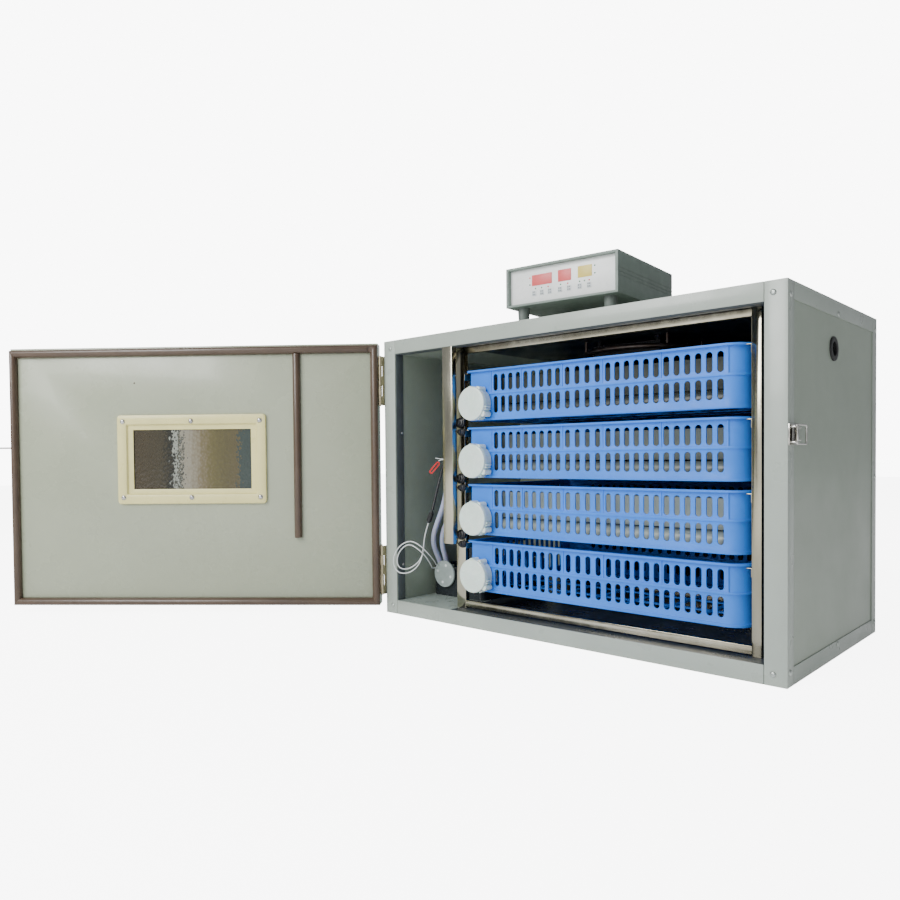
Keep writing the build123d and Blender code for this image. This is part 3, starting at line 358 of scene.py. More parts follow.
def make_finishes(scene):
    """Every material of the object, from the colours in the panels."""
    cabinet, bay, tray = scene.incubator_cabinet, scene.incubator_bay, scene.incubator_tray
    door, box = scene.incubator_door, scene.incubator_controller
    surface("Rail Paint", cabinet.rail_paint, 0.05, (0.26, 0.38), 9, (1200, 0.10), dust=0.12, coat=0.15)
    make_side_paint(cabinet)
    make_floor_paint(cabinet)
    surface("Seat Strip", (0.075, 0.09, 0.095), 0.10, (0.35, 0.5), 20, (800, 0.2))
    # On the rack steel the long upright brown-olive streaks are painted reflections.
    steel("Rack Steel", cabinet.steel, (60.0, 60.0, 9.0), (0.20, 0.17, 0.10))
    steel("Latch Steel", (0.86, 0.85, 0.80), (160.0, 160.0, 160.0), (0.42, 0.40, 0.37), (0.10, 0.24))
    steel("Rivet Head", (0.60, 0.64, 0.60), (240.0, 240.0, 240.0), (0.35, 0.38, 0.36), (0.30, 0.46))
    steel("Hinge Zinc", door.hinge, (150.0, 150.0, 40.0), (0.20, 0.17, 0.11), (0.24, 0.42), 0.16)
    surface("Black Plastic", (0.016, 0.017, 0.018), 0.2, (0.34, 0.5), 30, (1500, 0.25), dust=0.08)
    steel("Heater Sheath", (0.20, 0.18, 0.17), (90.0, 90.0, 90.0), (0.10, 0.06, 0.04), (0.35, 0.55), 0.2)
    surface("Pan Plastic", bay.pan, 0.25, (0.20, 0.32), 18, (1400, 0.12))
    surface("Disc Face", bay.disc, 0.10, (0.16, 0.28), 60, (1600, 0.08), coat=0.4)
    surface("Spot White", (0.74, 0.78, 0.76), 0.05, (0.25, 0.35), 80, (1600, 0.08))
    surface("Wire Jacket", bay.wire_jacket, 0.06, (0.28, 0.42), 60, (2600, 0.10))
    surface("Black Jacket", (0.02, 0.021, 0.022), 0.2, (0.38, 0.52), 60, (2600, 0.15))
    surface("Tag Red", bay.tag, 0.12, (0.25, 0.4), 60, (2000, 0.1))
    hose = surface("Clouded Hose", bay.hose, 0.08, (0.16, 0.30), 30, (1800, 0.06), coat=0.3)
    hose.shader.inputs["Subsurface Weight"].default_value = 0.3
    hose.shader.inputs["Subsurface Scale"].default_value = 0.004
    surface("Grommet Rubber", (0.007, 0.0075, 0.008), 0.2, (0.42, 0.6), 60, (2200, 0.3))
    blue = surface("Basket Blue", tray.basket, 0.07, (0.40, 0.52), 14, (1800, 0.14), dust=0.02, specular=0.35)
    blue.shader.inputs["Subsurface Weight"].default_value = 0.06
    blue.shader.inputs["Subsurface Scale"].default_value = 0.003
    cap = surface("Cap Plastic", tray.cap, 0.04, (0.20, 0.32), 30, (1500, 0.08), coat=0.25)
    cap.shader.inputs["Subsurface Weight"].default_value = 0.15
    cap.shader.inputs["Subsurface Scale"].default_value = 0.003
    # Lighter and darker copies of the roller's plastic: painted shade on each tray's rollers, darkest in tray
    # 1 and lightest in tray 3.
    for number, depth in ((1, 0.16), (2, 0.42), (3, 0.85)):
        surface(f"Roller Plastic Painted Shade {number}", shade(tray.roller, depth), 0.08, (0.28, 0.42), 24, (1600, 0.12))
    make_door_skin(door)
    surface("Gasket Rubber", door.gasket, 0.14, (0.30, 0.44), 26, (1700, 0.2), coat=0.15)
    surface("Frame Cream", door.window_frame, 0.05, (0.26, 0.38), 22, (1500, 0.10), coat=0.1)
    steel("Screw Steel", (0.72, 0.72, 0.72), (260.0, 260.0, 260.0), (0.30, 0.30, 0.31), (0.06, 0.14))
    surface("Case Plastic", box.case, 0.08, (0.45, 0.6), 22, (1500, 0.35), dust=0.14)
    surface("Face Panel", box.face, 0.03, (0.24, 0.34), 30, (1700, 0.05))
    surface("Foot Rubber", box.foot, 0.10, (0.5, 0.62), 50, (1500, 0.2))
    surface("Key White", (0.58, 0.62, 0.63), 0.06, (0.3, 0.42), 80, (1800, 0.1))
    surface("Key Mark", (0.16, 0.19, 0.20), 0.10, (0.4, 0.5), 80, (1800, 0.1))
    surface("Board Green", (0.02, 0.12, 0.05), 0.2, (0.3, 0.5), 60, (900, 0.2))
    surface("Red Lamp", (0.62, 0.05, 0.04), 0.1, (0.12, 0.2), 90, (900, 0.03), coat=0.6)
    surface("Green Lamp", (0.05, 0.22, 0.12), 0.1, (0.12, 0.2), 90, (900, 0.03), coat=0.6)
    for name, tint in (("Red Lens", box.red), ("Yellow Lens", box.yellow)):
        lens = surface(name, tint, 0.05, (0.36, 0.46), 60, (1300, 0.03))
        lit = lens.blend(lens.group("Soft Mottling", 90.0), shade(tint, 0.75), tint)
        lens.feed("Emission Color", lit)
        lens.shader.inputs["Emission Strength"].default_value = 0.18
    make_window_glass()


def place_on(made):
    """Object coordinates split into X, Y and Z."""
    coordinates = made.tree.nodes.new("ShaderNodeTexCoord")
    split = made.tree.nodes.new("ShaderNodeSeparateXYZ")
    made.tree.links.new(coordinates.outputs["Object"], split.inputs["Vector"])
    return split


def make_side_paint(cabinet):
    """Side paint outside and in the service bay, and near-black painted shade on the walls and ceiling round
    the trays.
    """
    made = surface("Side Paint", cabinet.side_paint, 0.07, (0.30, 0.42), 4, (1200, 0.12), dust=0.10,
                   coat=0.10)
    split = place_on(made)
    # Mask of the tray bay's inner walls and ceiling, where near-black painted shade replaces the side paint.
    painted_shade_round_trays = ramped(made.tree, split.outputs["X"], -0.202, -0.200)
    for axis, outside, inside in (("X", 0.336, 0.334), ("Y", 0.178, 0.176), ("Z", 0.478, 0.476)):
        within = made.tree.nodes.new("ShaderNodeMath")
        within.operation = "MULTIPLY"
        made.tree.links.new(painted_shade_round_trays, within.inputs[0])
        made.tree.links.new(ramped(made.tree, split.outputs[axis], outside, inside), within.inputs[1])
        painted_shade_round_trays = within.outputs["Value"]
    patches = made.group("Soft Mottling", 4.0)
    paint = made.blend(patches, shade(cabinet.side_paint, 0.93), shade(cabinet.side_paint, 1.07))
    dark = made.blend(patches, shade(cabinet.bay_painted_shade, 0.8), shade(cabinet.bay_painted_shade, 1.2))
    made.feed("Base Color", made.blend(painted_shade_round_trays, paint, dark))


def make_floor_paint(cabinet):
    """Pale paint in the service bay, and near-black painted shade on the floor below the trays."""
    made = surface("Floor Paint", cabinet.floor_paint, 0.08, (0.24, 0.36), 8, (1000, 0.10), dust=0.08)
    split = place_on(made)
    # Below the trays the floor takes near-black painted shade in place of its pale paint.
    painted_shade_below_trays = ramped(made.tree, split.outputs["X"], -0.202, -0.200)
    patches = made.group("Soft Mottling", 9.0)
    bay = made.blend(patches, shade(cabinet.floor_paint, 0.92), shade(cabinet.floor_paint, 1.08))
    shaded = made.blend(patches, shade(cabinet.floor_painted_shade, 0.8), shade(cabinet.floor_painted_shade, 1.2))
    made.feed("Base Color", made.blend(painted_shade_below_trays, bay, shaded))


def along_shut_door(made):
    """Object coordinates turned back with the door, as if it were shut, split into X, Y and Z."""
    coordinates = made.tree.nodes.new("ShaderNodeTexCoord")
    mapping = made.tree.nodes.new("ShaderNodeMapping")
    shut = DOOR_SWING.inverted()
    mapping.inputs["Location"].default_value = shut.to_translation()
    mapping.inputs["Rotation"].default_value = shut.to_euler()
    made.tree.links.new(coordinates.outputs["Object"], mapping.inputs["Vector"])
    split = made.tree.nodes.new("ShaderNodeSeparateXYZ")
    made.tree.links.new(mapping.outputs["Vector"], split.inputs["Vector"])
    return split, mapping


def make_door_skin(door):
    """Door paint, with a strip of green protective film left on the hinge edge."""
    made = surface("Door Skin", door.skin, 0.05, (0.22, 0.34), 4, (1100, 0.10), coat=0.15)
    split, _ = along_shut_door(made)
    hinge_edge = ramped(made.tree, split.outputs["X"], -0.3562, -0.3566)
    paint = made.blend(made.group("Soft Mottling", 4.0), shade(door.skin, 0.95), shade(door.skin, 1.05))
    film = made.blend(made.group("Soft Mottling", 18.0), shade(door.edge, 0.85), shade(door.edge, 1.1))
    made.feed("Base Color", made.blend(hinge_edge, paint, film))


def make_window_glass():
    """Rolled glass whose colour is painted light and shade in upright stripes with broken edges, standing in
    for what lies behind it.
    """
    made = Finish("Rippled Glass", ior=1.45)
    split, mapping = along_shut_door(made)
    across = ramped(made.tree, split.outputs["X"], 0.1085, -0.1225)
    streaks = made.tree.nodes.new("ShaderNodeTexNoise")
    streaks.inputs["Scale"].default_value = 1.0
    streaks.inputs["Detail"].default_value = 4.0
    longer = made.tree.nodes.new("ShaderNodeMapping")
    longer.inputs["Scale"].default_value = (170.0, 10.0, 9.0)
    made.tree.links.new(mapping.outputs["Vector"], longer.inputs["Vector"])
    made.tree.links.new(longer.outputs["Vector"], streaks.inputs["Vector"])
    dimples = made.group("Hammered Glass", (260.0, 260.0, 190.0), "Height")
    shift = made.tree.nodes.new("ShaderNodeMath")
    shift.operation = "MULTIPLY_ADD"
    shift.inputs[1].default_value = 0.11
    made.tree.links.new(dimples, shift.inputs[0])
    made.tree.links.new(across, shift.inputs[2])
    smear = made.tree.nodes.new("ShaderNodeMath")
    smear.operation = "MULTIPLY_ADD"
    smear.inputs[1].default_value = 0.10
    made.tree.links.new(streaks.outputs["Fac"], smear.inputs[0])
    made.tree.links.new(shift.outputs["Value"], smear.inputs[2])
    # Painted light and shade standing in for what lies behind the glass: dark stripes and two pale stripes of
    # painted light.
    painted_view_stripes = made.tree.nodes.new("ShaderNodeValToRGB")
    painted_view_tones = [(0.08, (0.060, 0.045, 0.022)), (0.36, (0.050, 0.042, 0.022)), (0.43, (0.010, 0.013, 0.009)),
             (0.46, (0.42, 0.44, 0.38)), (0.50, (0.030, 0.033, 0.022)), (0.54, (0.34, 0.32, 0.25)),
             (0.68, (0.20, 0.165, 0.095)), (0.76, (0.14, 0.12, 0.045)), (0.88, (0.11, 0.095, 0.040)),
             (0.98, (0.115, 0.095, 0.045)), (1.0, (0.05, 0.07, 0.062))]
    ramp = painted_view_stripes.color_ramp
    while len(ramp.elements) < len(painted_view_tones):
        ramp.elements.new(0.5)
    for element, (place, tone) in zip(ramp.elements, painted_view_tones):
        element.position = place
        element.color = (*tone, 1.0)
    made.tree.links.new(smear.outputs["Value"], painted_view_stripes.inputs["Fac"])
    made.feed("Base Color", painted_view_stripes.outputs["Color"])
    made.shader.inputs["Transmission Weight"].default_value = 0.30
    made.feed("Roughness", made.scaled(dimples, 0.05, 0.14))
    made.relief(dimples, 0.45, 0.0007)


def finish_of(name):
    return bpy.data.materials[name]


def coat_nodes(name, *nodes):
    """Gives CAD nodes, whose shape is right, a better finish."""
    for node in nodes:
        mesh = NODES[node].data
        mesh.materials.clear()
        mesh.materials.append(finish_of(name))


# ---------------------------------------------------------------- shaping

def bevelled(bm, edges, width, segments=2):
    bmesh.ops.bevel(bm, geom=list(edges), offset=width * MM, offset_type="OFFSET", affect="EDGES",
                    segments=segments, profile=0.5, material=-1, clamp_overlap=True, loop_slide=True)


def add_block(bm, x, y, z, round_by=0.0, segments=2):
    """A block between two corners in millimetres, with all its edges rounded."""
    part = bmesh.new()
    bmesh.ops.create_cube(part, size=1.0)
    size = Vector((x[1] - x[0], y[1] - y[0], z[1] - z[0])) * MM
    middle = Vector((x[1] + x[0], y[1] + y[0], z[1] + z[0])) * MM / 2
    bmesh.ops.scale(part, vec=size, verts=part.verts)
    bmesh.ops.translate(part, vec=middle, verts=part.verts)
    if round_by:
        bevelled(part, part.edges, round_by, segments)
    return absorb(bm, part)


def absorb(bm, part, place=None):
    """Moves a part into place and joins it to a mesh."""
    if place is not None:
        bmesh.ops.transform(part, matrix=place, verts=part.verts)
    scratch = bpy.data.meshes.new("scratch")
    part.to_mesh(scratch)
    part.free()
    bm.from_mesh(scratch)
    bpy.data.meshes.remove(scratch)
    return bm


def facing(direction):
    """A turn that takes +Z to the given direction."""
    return Vector((0, 0, 1)).rotation_difference(Vector(direction)).to_matrix().to_4x4()


def add_turned(bm, profile, centre, direction, steps=48, place=None):
    """A closed profile of (radius, height) pairs in millimetres, spun about an axis."""
    part = bmesh.new()
    ring = [part.verts.new((radius * MM, 0, height * MM)) for radius, height in profile]
    edges = [part.edges.new(pair) for pair in zip(ring, ring[1:])]
    bmesh.ops.spin(part, geom=ring + edges, cent=(0, 0, 0), axis=(0, 0, 1), dvec=(0, 0, 0),
                   angle=math.tau, steps=steps, use_merge=True, use_normal_flip=False, use_duplicate=False)
    bmesh.ops.remove_doubles(part, verts=part.verts, dist=1e-6)
    bmesh.ops.recalc_face_normals(part, faces=part.faces)
    where = Matrix.Translation(Vector(centre) * MM) @ facing(direction)
    return absorb(bm, part, where if place is None else place @ where)


def rounded_loop(bm, wide, tall, height, radius):
    """The outline of a rounded rectangle about the Z axis, in millimetres, as a list of edges."""
    known = set(bm.edges)
    corners = [bm.verts.new((sx * wide / 2 * MM, sy * tall / 2 * MM, height * MM))
               for sx, sy in ((-1, -1), (1, -1), (1, 1), (-1, 1))]
    bm.faces.new(corners)
    bmesh.ops.bevel(bm, geom=corners, offset=radius * MM, offset_type="OFFSET", affect="VERTICES", segments=5,
                    profile=0.5, material=-1, clamp_overlap=False, loop_slide=True)
    return [edge for edge in bm.edges if edge not in known]


def add_rod(bm, start, end, radius, steps=24, round_by=0.0):
    """A round bar between two points in millimetres, with rounded rims."""
    start, end = Vector(start), Vector(end)
    tall = (end - start).length
    rim = min(round_by, radius * 0.8, tall * 0.45)
    profile = [(0, 0), (radius - rim, 0), (radius - rim * 0.3, rim * 0.3), (radius, rim),
               (radius, tall - rim), (radius - rim * 0.3, tall - rim * 0.3), (radius - rim, tall), (0, tall)]
    if not rim:
        profile = [(0, 0), (radius, 0), (radius, tall), (0, tall)]
    return add_turned(bm, profile, start, end - start, steps)


def softened(node, width, segments=2, sharper_than=28.0):
    """A merged copy of a CAD node with its sharp edges rounded."""
    bm = bmesh.new()
    bm.from_mesh(NODES[node].data)
    bmesh.ops.remove_doubles(bm, verts=bm.verts, dist=2e-6)
    bmesh.ops.dissolve_limit(bm, angle_limit=math.radians(0.6), verts=bm.verts, edges=bm.edges,
                             use_dissolve_boundaries=False)
    sharp = [edge for edge in bm.edges
             if len(edge.link_faces) == 2 and edge.calc_face_angle() > math.radians(sharper_than)]
    bevelled(bm, sharp, width, segments)
    return bm


def finished(bm, name, material, body, stands_for=(), place=None, recalc=True, crease=34.0):
    """Turns a mesh into a piece: faces outwards, smooth shading with creases, finish and body."""
    if place is not None:
        bmesh.ops.transform(bm, matrix=place, verts=bm.verts)
    if recalc:
        bmesh.ops.recalc_face_normals(bm, faces=bm.faces)
    for face in bm.faces:
        face.smooth = True
    for edge in bm.edges:
        if len(edge.link_faces) == 2 and edge.calc_face_angle() > math.radians(crease):
            edge.smooth = False
    mesh = bpy.data.meshes.new(name)
    bm.to_mesh(mesh)
    bm.free()
    piece = bpy.data.objects.new(name, mesh)
    bpy.context.scene.collection.objects.link(piece)
    for one in (material if isinstance(material, (list, tuple)) else [material]):
        mesh.materials.append(finish_of(one))
    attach(piece, body)
    if stands_for:
        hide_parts(*stands_for)
    return piece


def softened_piece(node, width, material, body, segments=2):
    bm = softened(node, width, segments)
    return finished(bm, f"{node}_finish", material, body, (node,), recalc=False)


# ---------------------------------------------------------------- pieces

class INCUBATOR_OT_stage(Operator):
    """Camera, floor and studio light"""
    bl_idname = "incubator.stage"
    bl_label = "Stage and Camera"

    def execute(self, context):
        look = context.scene.incubator_stage
        camera = bpy.data.objects.new("Camera", bpy.data.cameras.new("Camera"))
        camera.data.sensor_width = 36.0
        camera.data.lens = 30.545
        camera.data.shift_x = -0.0005
        camera.data.shift_y = 0.0268
        camera.data.clip_start = 0.01
        camera.matrix_world = (Matrix.Translation((0.6862, -1.1574, 0.2879))
                               @ Matrix.Rotation(math.radians(42.66), 4, "Z")
                               @ Matrix.Rotation(math.radians(90 - 1.33), 4, "X")
                               @ Matrix.Rotation(math.radians(-0.515), 4, "Z"))
        context.scene.collection.objects.link(camera)
        context.scene.camera = camera

        bm = bmesh.new()
        bmesh.ops.create_grid(bm, x_segments=1, y_segments=1, size=9.0)
        bmesh.ops.translate(bm, vec=(0, 0, CAD_BOX[0][2] - 0.0002), verts=bm.verts)
        mesh = bpy.data.meshes.new("Studio Floor")
        bm.to_mesh(mesh)
        bm.free()
        floor = bpy.data.objects.new("Studio_Floor", mesh)
        context.scene.collection.objects.link(floor)
        paper = surface("Floor Paper", look.floor, 0.01, (0.75, 0.85), 2, (300, 0.02))
        paper.shader.inputs["Emission Color"].default_value = (1.0, 1.0, 1.0, 1.0)
        sight = paper.tree.nodes.new("ShaderNodeLightPath")
        glow = paper.scaled(sight.outputs["Is Camera Ray"], look.floor_glow, look.floor_seen)
        paper.feed("Emission Strength", glow)
        mesh.materials.append(paper.material)

        world = bpy.data.worlds.new("Studio Room")
        context.scene.world = world
        world.use_nodes = True
        tree = world.node_tree
        room = tree.nodes["Background"]
        room.inputs["Color"].default_value = (0.93, 0.96, 1.0, 1.0)
        room.inputs["Strength"].default_value = look.world
        backdrop = tree.nodes.new("ShaderNodeBackground")
        backdrop.inputs["Color"].default_value = (1.0, 1.0, 1.0, 1.0)
        backdrop.inputs["Strength"].default_value = look.backdrop
        seen, choice = tree.nodes.new("ShaderNodeLightPath"), tree.nodes.new("ShaderNodeMixShader")
        tree.links.new(seen.outputs["Is Camera Ray"], choice.inputs["Fac"])
        tree.links.new(room.outputs["Background"], choice.inputs[1])
        tree.links.new(backdrop.outputs["Background"], choice.inputs[2])
        tree.links.new(choice.outputs["Shader"], tree.nodes["World Output"].inputs["Surface"])
        for name, power, size, place, aim in (
                ("Key Light", look.key, 1.5, (-0.5, -2.6, 1.7), (0.0, 0.0, 0.25)),
                ("Fill Light", look.fill, 1.8, (0.5, -2.4, 0.6), (-0.2, 0.0, 0.2)),
                ("Back Light", look.fill, 1.4, (-1.2, 2.2, 1.6), (0.0, 0.0, 0.3))):
            lamp = bpy.data.objects.new(name, bpy.data.lights.new(name, "AREA"))
            lamp.data.energy = power
            lamp.data.size = size
            lamp.matrix_world = Matrix.Translation(place) @ (
                Vector(aim) - Vector(place)).to_track_quat("-Z", "Y").to_matrix().to_4x4()
            context.scene.collection.objects.link(lamp)
        return {"FINISHED"}


class INCUBATOR_OT_lines(Operator):
    """Twin lead, sensor lead and water hoses of the service bay"""
    bl_idname = "incubator.lines"
    bl_label = "Leads and Hoses"

    def line(self, name, route, radius, material, node, slot):
        curve = bpy.data.curves.new(name, "CURVE")
        curve.dimensions = "3D"
        curve.bevel_depth = radius * MM
        curve.bevel_resolution = 5
        curve.resolution_u = 12
        curve.use_fill_caps = True
        spline = curve.splines.new("NURBS")
        spline.points.add(len(route) - 1)
        for point, place in zip(spline.points, route):
            point.co = (*(Vector(place) * MM), 1.0)
        spline.order_u = 3
        spline.use_endpoint_u = True
        spline.use_smooth = True
        piece = bpy.data.objects.new(name, curve)
        bpy.context.scene.collection.objects.link(piece)
        curve.materials.append(finish_of(material))
        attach(piece, "cabinet")
        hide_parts(node)
        return piece

    def execute(self, context):
        wires = [self.line("twin_lead_outer", WIRE_A, 1.0, "Wire Jacket", "atomiser_wire_a", "wire_white"),
                 self.line("twin_lead_inner", WIRE_B, 1.0, "Wire Jacket", "atomiser_wire_b", "wire_white")]
        sensor = self.line("sensor_lead", SENSOR, 2.0, "Black Jacket", "sensor_cable", "wire_white")
        hoses = [self.line("supply_hose", HOSE_A, 5.0, "Clouded Hose", "water_hose_a", "hose_clear"),
                 self.line("overflow_hose", HOSE_B, 5.0, "Clouded Hose", "water_hose_b", "hose_clear")]
        fittings = self.fittings()
        return {"FINISHED"}

    def fittings(self):
        lower, upper = Vector((-284, -164.5, 168)), Vector((-276, -163, 189))
        along = upper - lower
        tall = along.length
        profile = [(0, 0), (2.4, 0), (3.0, 0.8), (3.3, 2.4), (4.2, 3.0)]
        for step in range(5):
            base = 3.6 + step * 3.0
            profile += [(4.7, base), (4.7, base + 1.8), (4.2, base + 2.1), (4.2, base + 2.6)]
        profile += [(4.5, tall - 3.4), (3.4, tall - 2.4), (2.9, tall - 0.7), (2.4, tall), (0, tall)]
        bm = add_turned(bmesh.new(), profile, lower, along, 36)
        connector = finished(bm, "lead_connector", "Black Plastic", "cabinet", ())
        bm = bmesh.new()
        turn = Matrix.Translation(Vector((-266, -139, 282)) * MM) @ facing((7, 1, 34))
        knot = [(2.4, -1.2), (3.6, -1.4), (4.3, -0.6), (4.3, 0.6), (3.6, 1.4), (2.4, 1.2), (2.4, -1.2)]
        add_turned(bm, knot, (0, 0, 0), (0, 0, 1), 32, turn)
        add_rod(bm, (-270, -140.5, 283), (-276.5, -145, 279.5), 0.9, 12, 0.5)
        add_rod(bm, (-270, -140.5, 283), (-282, -147, 285), 0.7, 12, 0.4)
        tie = finished(bm, "lead_tie", "Spot White", "cabinet", ())
        bm = bmesh.new()
        bmesh.ops.create_cube(bm, size=1.0)
        bmesh.ops.scale(bm, vec=Vector((26.0, 7.6, 2.0)) * MM, verts=bm.verts)
        upright = [e for e in bm.edges if abs((e.verts[0].co - e.verts[1].co).z) > MM]
        bevelled(bm, upright, 3.7, 6)
        caps = [f for f in bm.faces if abs(f.normal.z) > 0.9]
        bmesh.ops.inset_individual(bm, faces=caps, thickness=2.3 * MM, depth=0.0)
        rims = [list(f.edges) for f in caps]
        bmesh.ops.delete(bm, geom=caps, context="FACES_ONLY")
        bmesh.ops.bridge_loops(bm, edges=rims[0] + rims[1])
        x_axis, z_axis = Vector((-0.47, -0.434, -0.77)).normalized(), Vector((0.677, -0.7355, 0))
        y_axis = z_axis.cross(x_axis).normalized()
        z_axis = x_axis.cross(y_axis)
        lean = Matrix((x_axis, y_axis, z_axis)).transposed().to_4x4()
        tag = finished(bm, "lead_tag", "Tag Red", "cabinet", ("cable_fittings",),
                       Matrix.Translation(Vector((-281.5, -150, 267.5)) * MM) @ lean)
        return [connector, tie, tag]


class INCUBATOR_OT_shell(Operator):
    """Insulated panels, folded edge angles, rivets and vent"""
    bl_idname = "incubator.shell"
    bl_label = "Cabinet Shell"

    def execute(self, context):
        look = context.scene.incubator_cabinet
        coat_nodes("Side Paint", "left_panel", "right_panel", "top_panel", "back_panel")
        coat_nodes("Floor Paint", "bottom_panel")
        for node in ("corner_posts", "width_rails", "depth_rails"):
            softened_piece(node, look.fold / MM, "Rail Paint", "cabinet")
        self.rivets()
        self.seat_strips()
        profile = [(10.0, -29.0), (10.0, 2.6), (10.6, 3.4), (11.8, 3.5), (15.6, 3.5), (16.6, 3.2),
                   (17.0, 2.5), (17.0, 1.0), (15.0, 1.0), (15.0, -26.0), (17.0, -26.0), (17.0, -28.2),
                   (16.0, -29.0), (10.0, -29.0)]
        raised = [(radius, height - 2.5) for radius, height in profile]
        bm = add_turned(bmesh.new(), raised, (360, -18, 432), (1, 0, 0), 64)
        finished(bm, "vent_collar", "Grommet Rubber", "cabinet", ("vent_grommet",))
        return {"FINISHED"}

    def rivets(self):
        """Pop rivets: a low washer, a domed head and the dimple left by the mandrel."""
        profile = [(0.0, 1.1), (0.9, 1.15), (1.2, 2.0), (2.0, 1.9), (3.0, 1.45), (3.6, 0.9), (3.8, 0.3),
                   (3.8, 0.0), (0.0, 0.0)]
        bm = bmesh.new()
        for side in (-1, 1):
            spots = [((x, side * 200.0, z), (0, side, 0)) for x in (-342.6, 342.6) for z in (15, 485)]
            spots += [((side * 360.0, y, z), (side, 0, 0)) for y in (-190.5, 0, 190.5) for z in (18.5, 481.5)]
            spots.append(((side * 360.0, 190.5, 250), (side, 0, 0)))
            for place, out in spots:
                add_turned(bm, profile, place, out, 24)
        finished(bm, "pop_rivets", "Rivet Head", "cabinet", ("cabinet_rivets",))

    def seat_strips(self):
        """The dark strips just inside the opening, and two screws that hold the side one."""
        bm = bmesh.new()
        add_block(bm, (-331.4, -330.4), (-197.5, -180), (25.2, 474.8), 0.3)
        add_block(bm, (330.4, 331.4), (-197.5, -180), (25.2, 474.8), 0.3)
        add_block(bm, (-330, 330), (-197.5, -180), (473.8, 474.9), 0.3)
        finished(bm, "seat_strips", "Seat Strip", "cabinet", ())
        bm = bmesh.new()
        for z in (90, 332):
            add_turned(bm, [(0, 0.9), (1.4, 0.8), (2.3, 0.0), (0, 0)], (-330.4, -184, z), (1, 0, 0), 20)
        finished(bm, "seat_strip_screws", "Screw Steel", "cabinet", ())


class INCUBATOR_OT_rack(Operator):
    """Stainless rack and the divider strip"""
    bl_idname = "incubator.rack"
    bl_label = "Tray Rack"

    def execute(self, context):
        look = context.scene.incubator_cabinet
        softened_piece("rack_frame", look.tube_round / MM * 0.5, "Rack Steel", "cabinet")
        softened_piece("divider_strip", 0.5, "Rack Steel", "cabinet")
        bm = bmesh.new()
        for height in (345, 249, 152):
            self.knob(bm, (-194, -173, height), 9.0)
            self.knob(bm, (-191, -173, height - 16), 6.5)
        finished(bm, "turner_plugs", "Black Plastic", "cabinet", ())
        return {"FINISHED"}

    def knob(self, bm, place, radius):
        """A small ribbed plug on the rack's left post, one pair below each turning motor."""
        profile = [(0, 0), (radius, 0), (radius, 4), (radius * 0.86, 4.6), (radius * 0.86, 7),
                   (radius * 0.6, 8), (radius * 0.6, 11), (radius * 0.45, 12), (0, 12)]
        add_turned(bm, profile, place, (0, -1, 0.12), 18)


class INCUBATOR_OT_air(Operator):
    """Circulation fan and heater under the ceiling"""
    bl_idname = "incubator.air"
    bl_label = "Fan and Heater"

    def execute(self, context):
        softened_piece("fan_housing", 0.6, "Black Plastic", "cabinet")
        coat_nodes("Black Plastic", "fan_rotor")
        coat_nodes("Heater Sheath", "heater_ring")
        return {"FINISHED"}


class INCUBATOR_OT_service_bay(Operator):
    """Water pan, float valve and atomiser disc"""
    bl_idname = "incubator.service_bay"
    bl_label = "Pan and Atomiser"

    def execute(self, context):
        softened_piece("water_tank", 1.2, "Pan Plastic", "cabinet", 3)
        bm = bmesh.new()
        body = [(0, 4.8), (24, 4.8), (25, 4.0), (25, 1.4), (24.4, 0.5), (23.2, 0.2), (22.6, 0.9), (0, 0.9)]
        add_turned(bm, body, (DISC_X, DISC_FACE_Y, DISC_Z), (0, 1, 0), 72)
        add_block(bm, (-286, -280), (-110, -104.2), (81.2, 84.4), 0.6)
        add_block(bm, (-286, -280), (-103.9, -100.2), (66.2, 84.4), 0.6)
        add_block(bm, (-286, -280), (-104.4, -103.6), (81.2, 84.4))
        finished(bm, "atomiser_body", "Disc Face", "cabinet", ("atomiser_disc",))
        bm = bmesh.new()
        spot = [(0, 0.9), (1.6, 0.8), (2.6, 0.2), (2.8, -0.3), (0, -0.3)]
        for angle in map(math.radians, (75, 165, 255, 345)):
            place = (DISC_X + 16.5 * math.cos(angle), DISC_FACE_Y + 0.9, DISC_Z + 16.5 * math.sin(angle))
            add_turned(bm, spot, place, (0, -1, 0), 24)
        finished(bm, "atomiser_spots", "Spot White", "cabinet", ())
        self.hook_chain()
        return {"FINISHED"}

    def hook_chain(self):
        """The short bead chain that hangs from the valve box and holds the float's hook."""
        bm = bmesh.new()
        top, low = Vector((-243, -103.5, 121)), Vector((-251, -104.5, 99))
        for step in range(10):
            bmesh.ops.create_uvsphere(bm, u_segments=10, v_segments=6, radius=1.1 * MM,
                                      matrix=Matrix.Translation(top.lerp(low, step / 9) * MM))
        finished(bm, "float_chain", "Latch Steel", "cabinet", ())


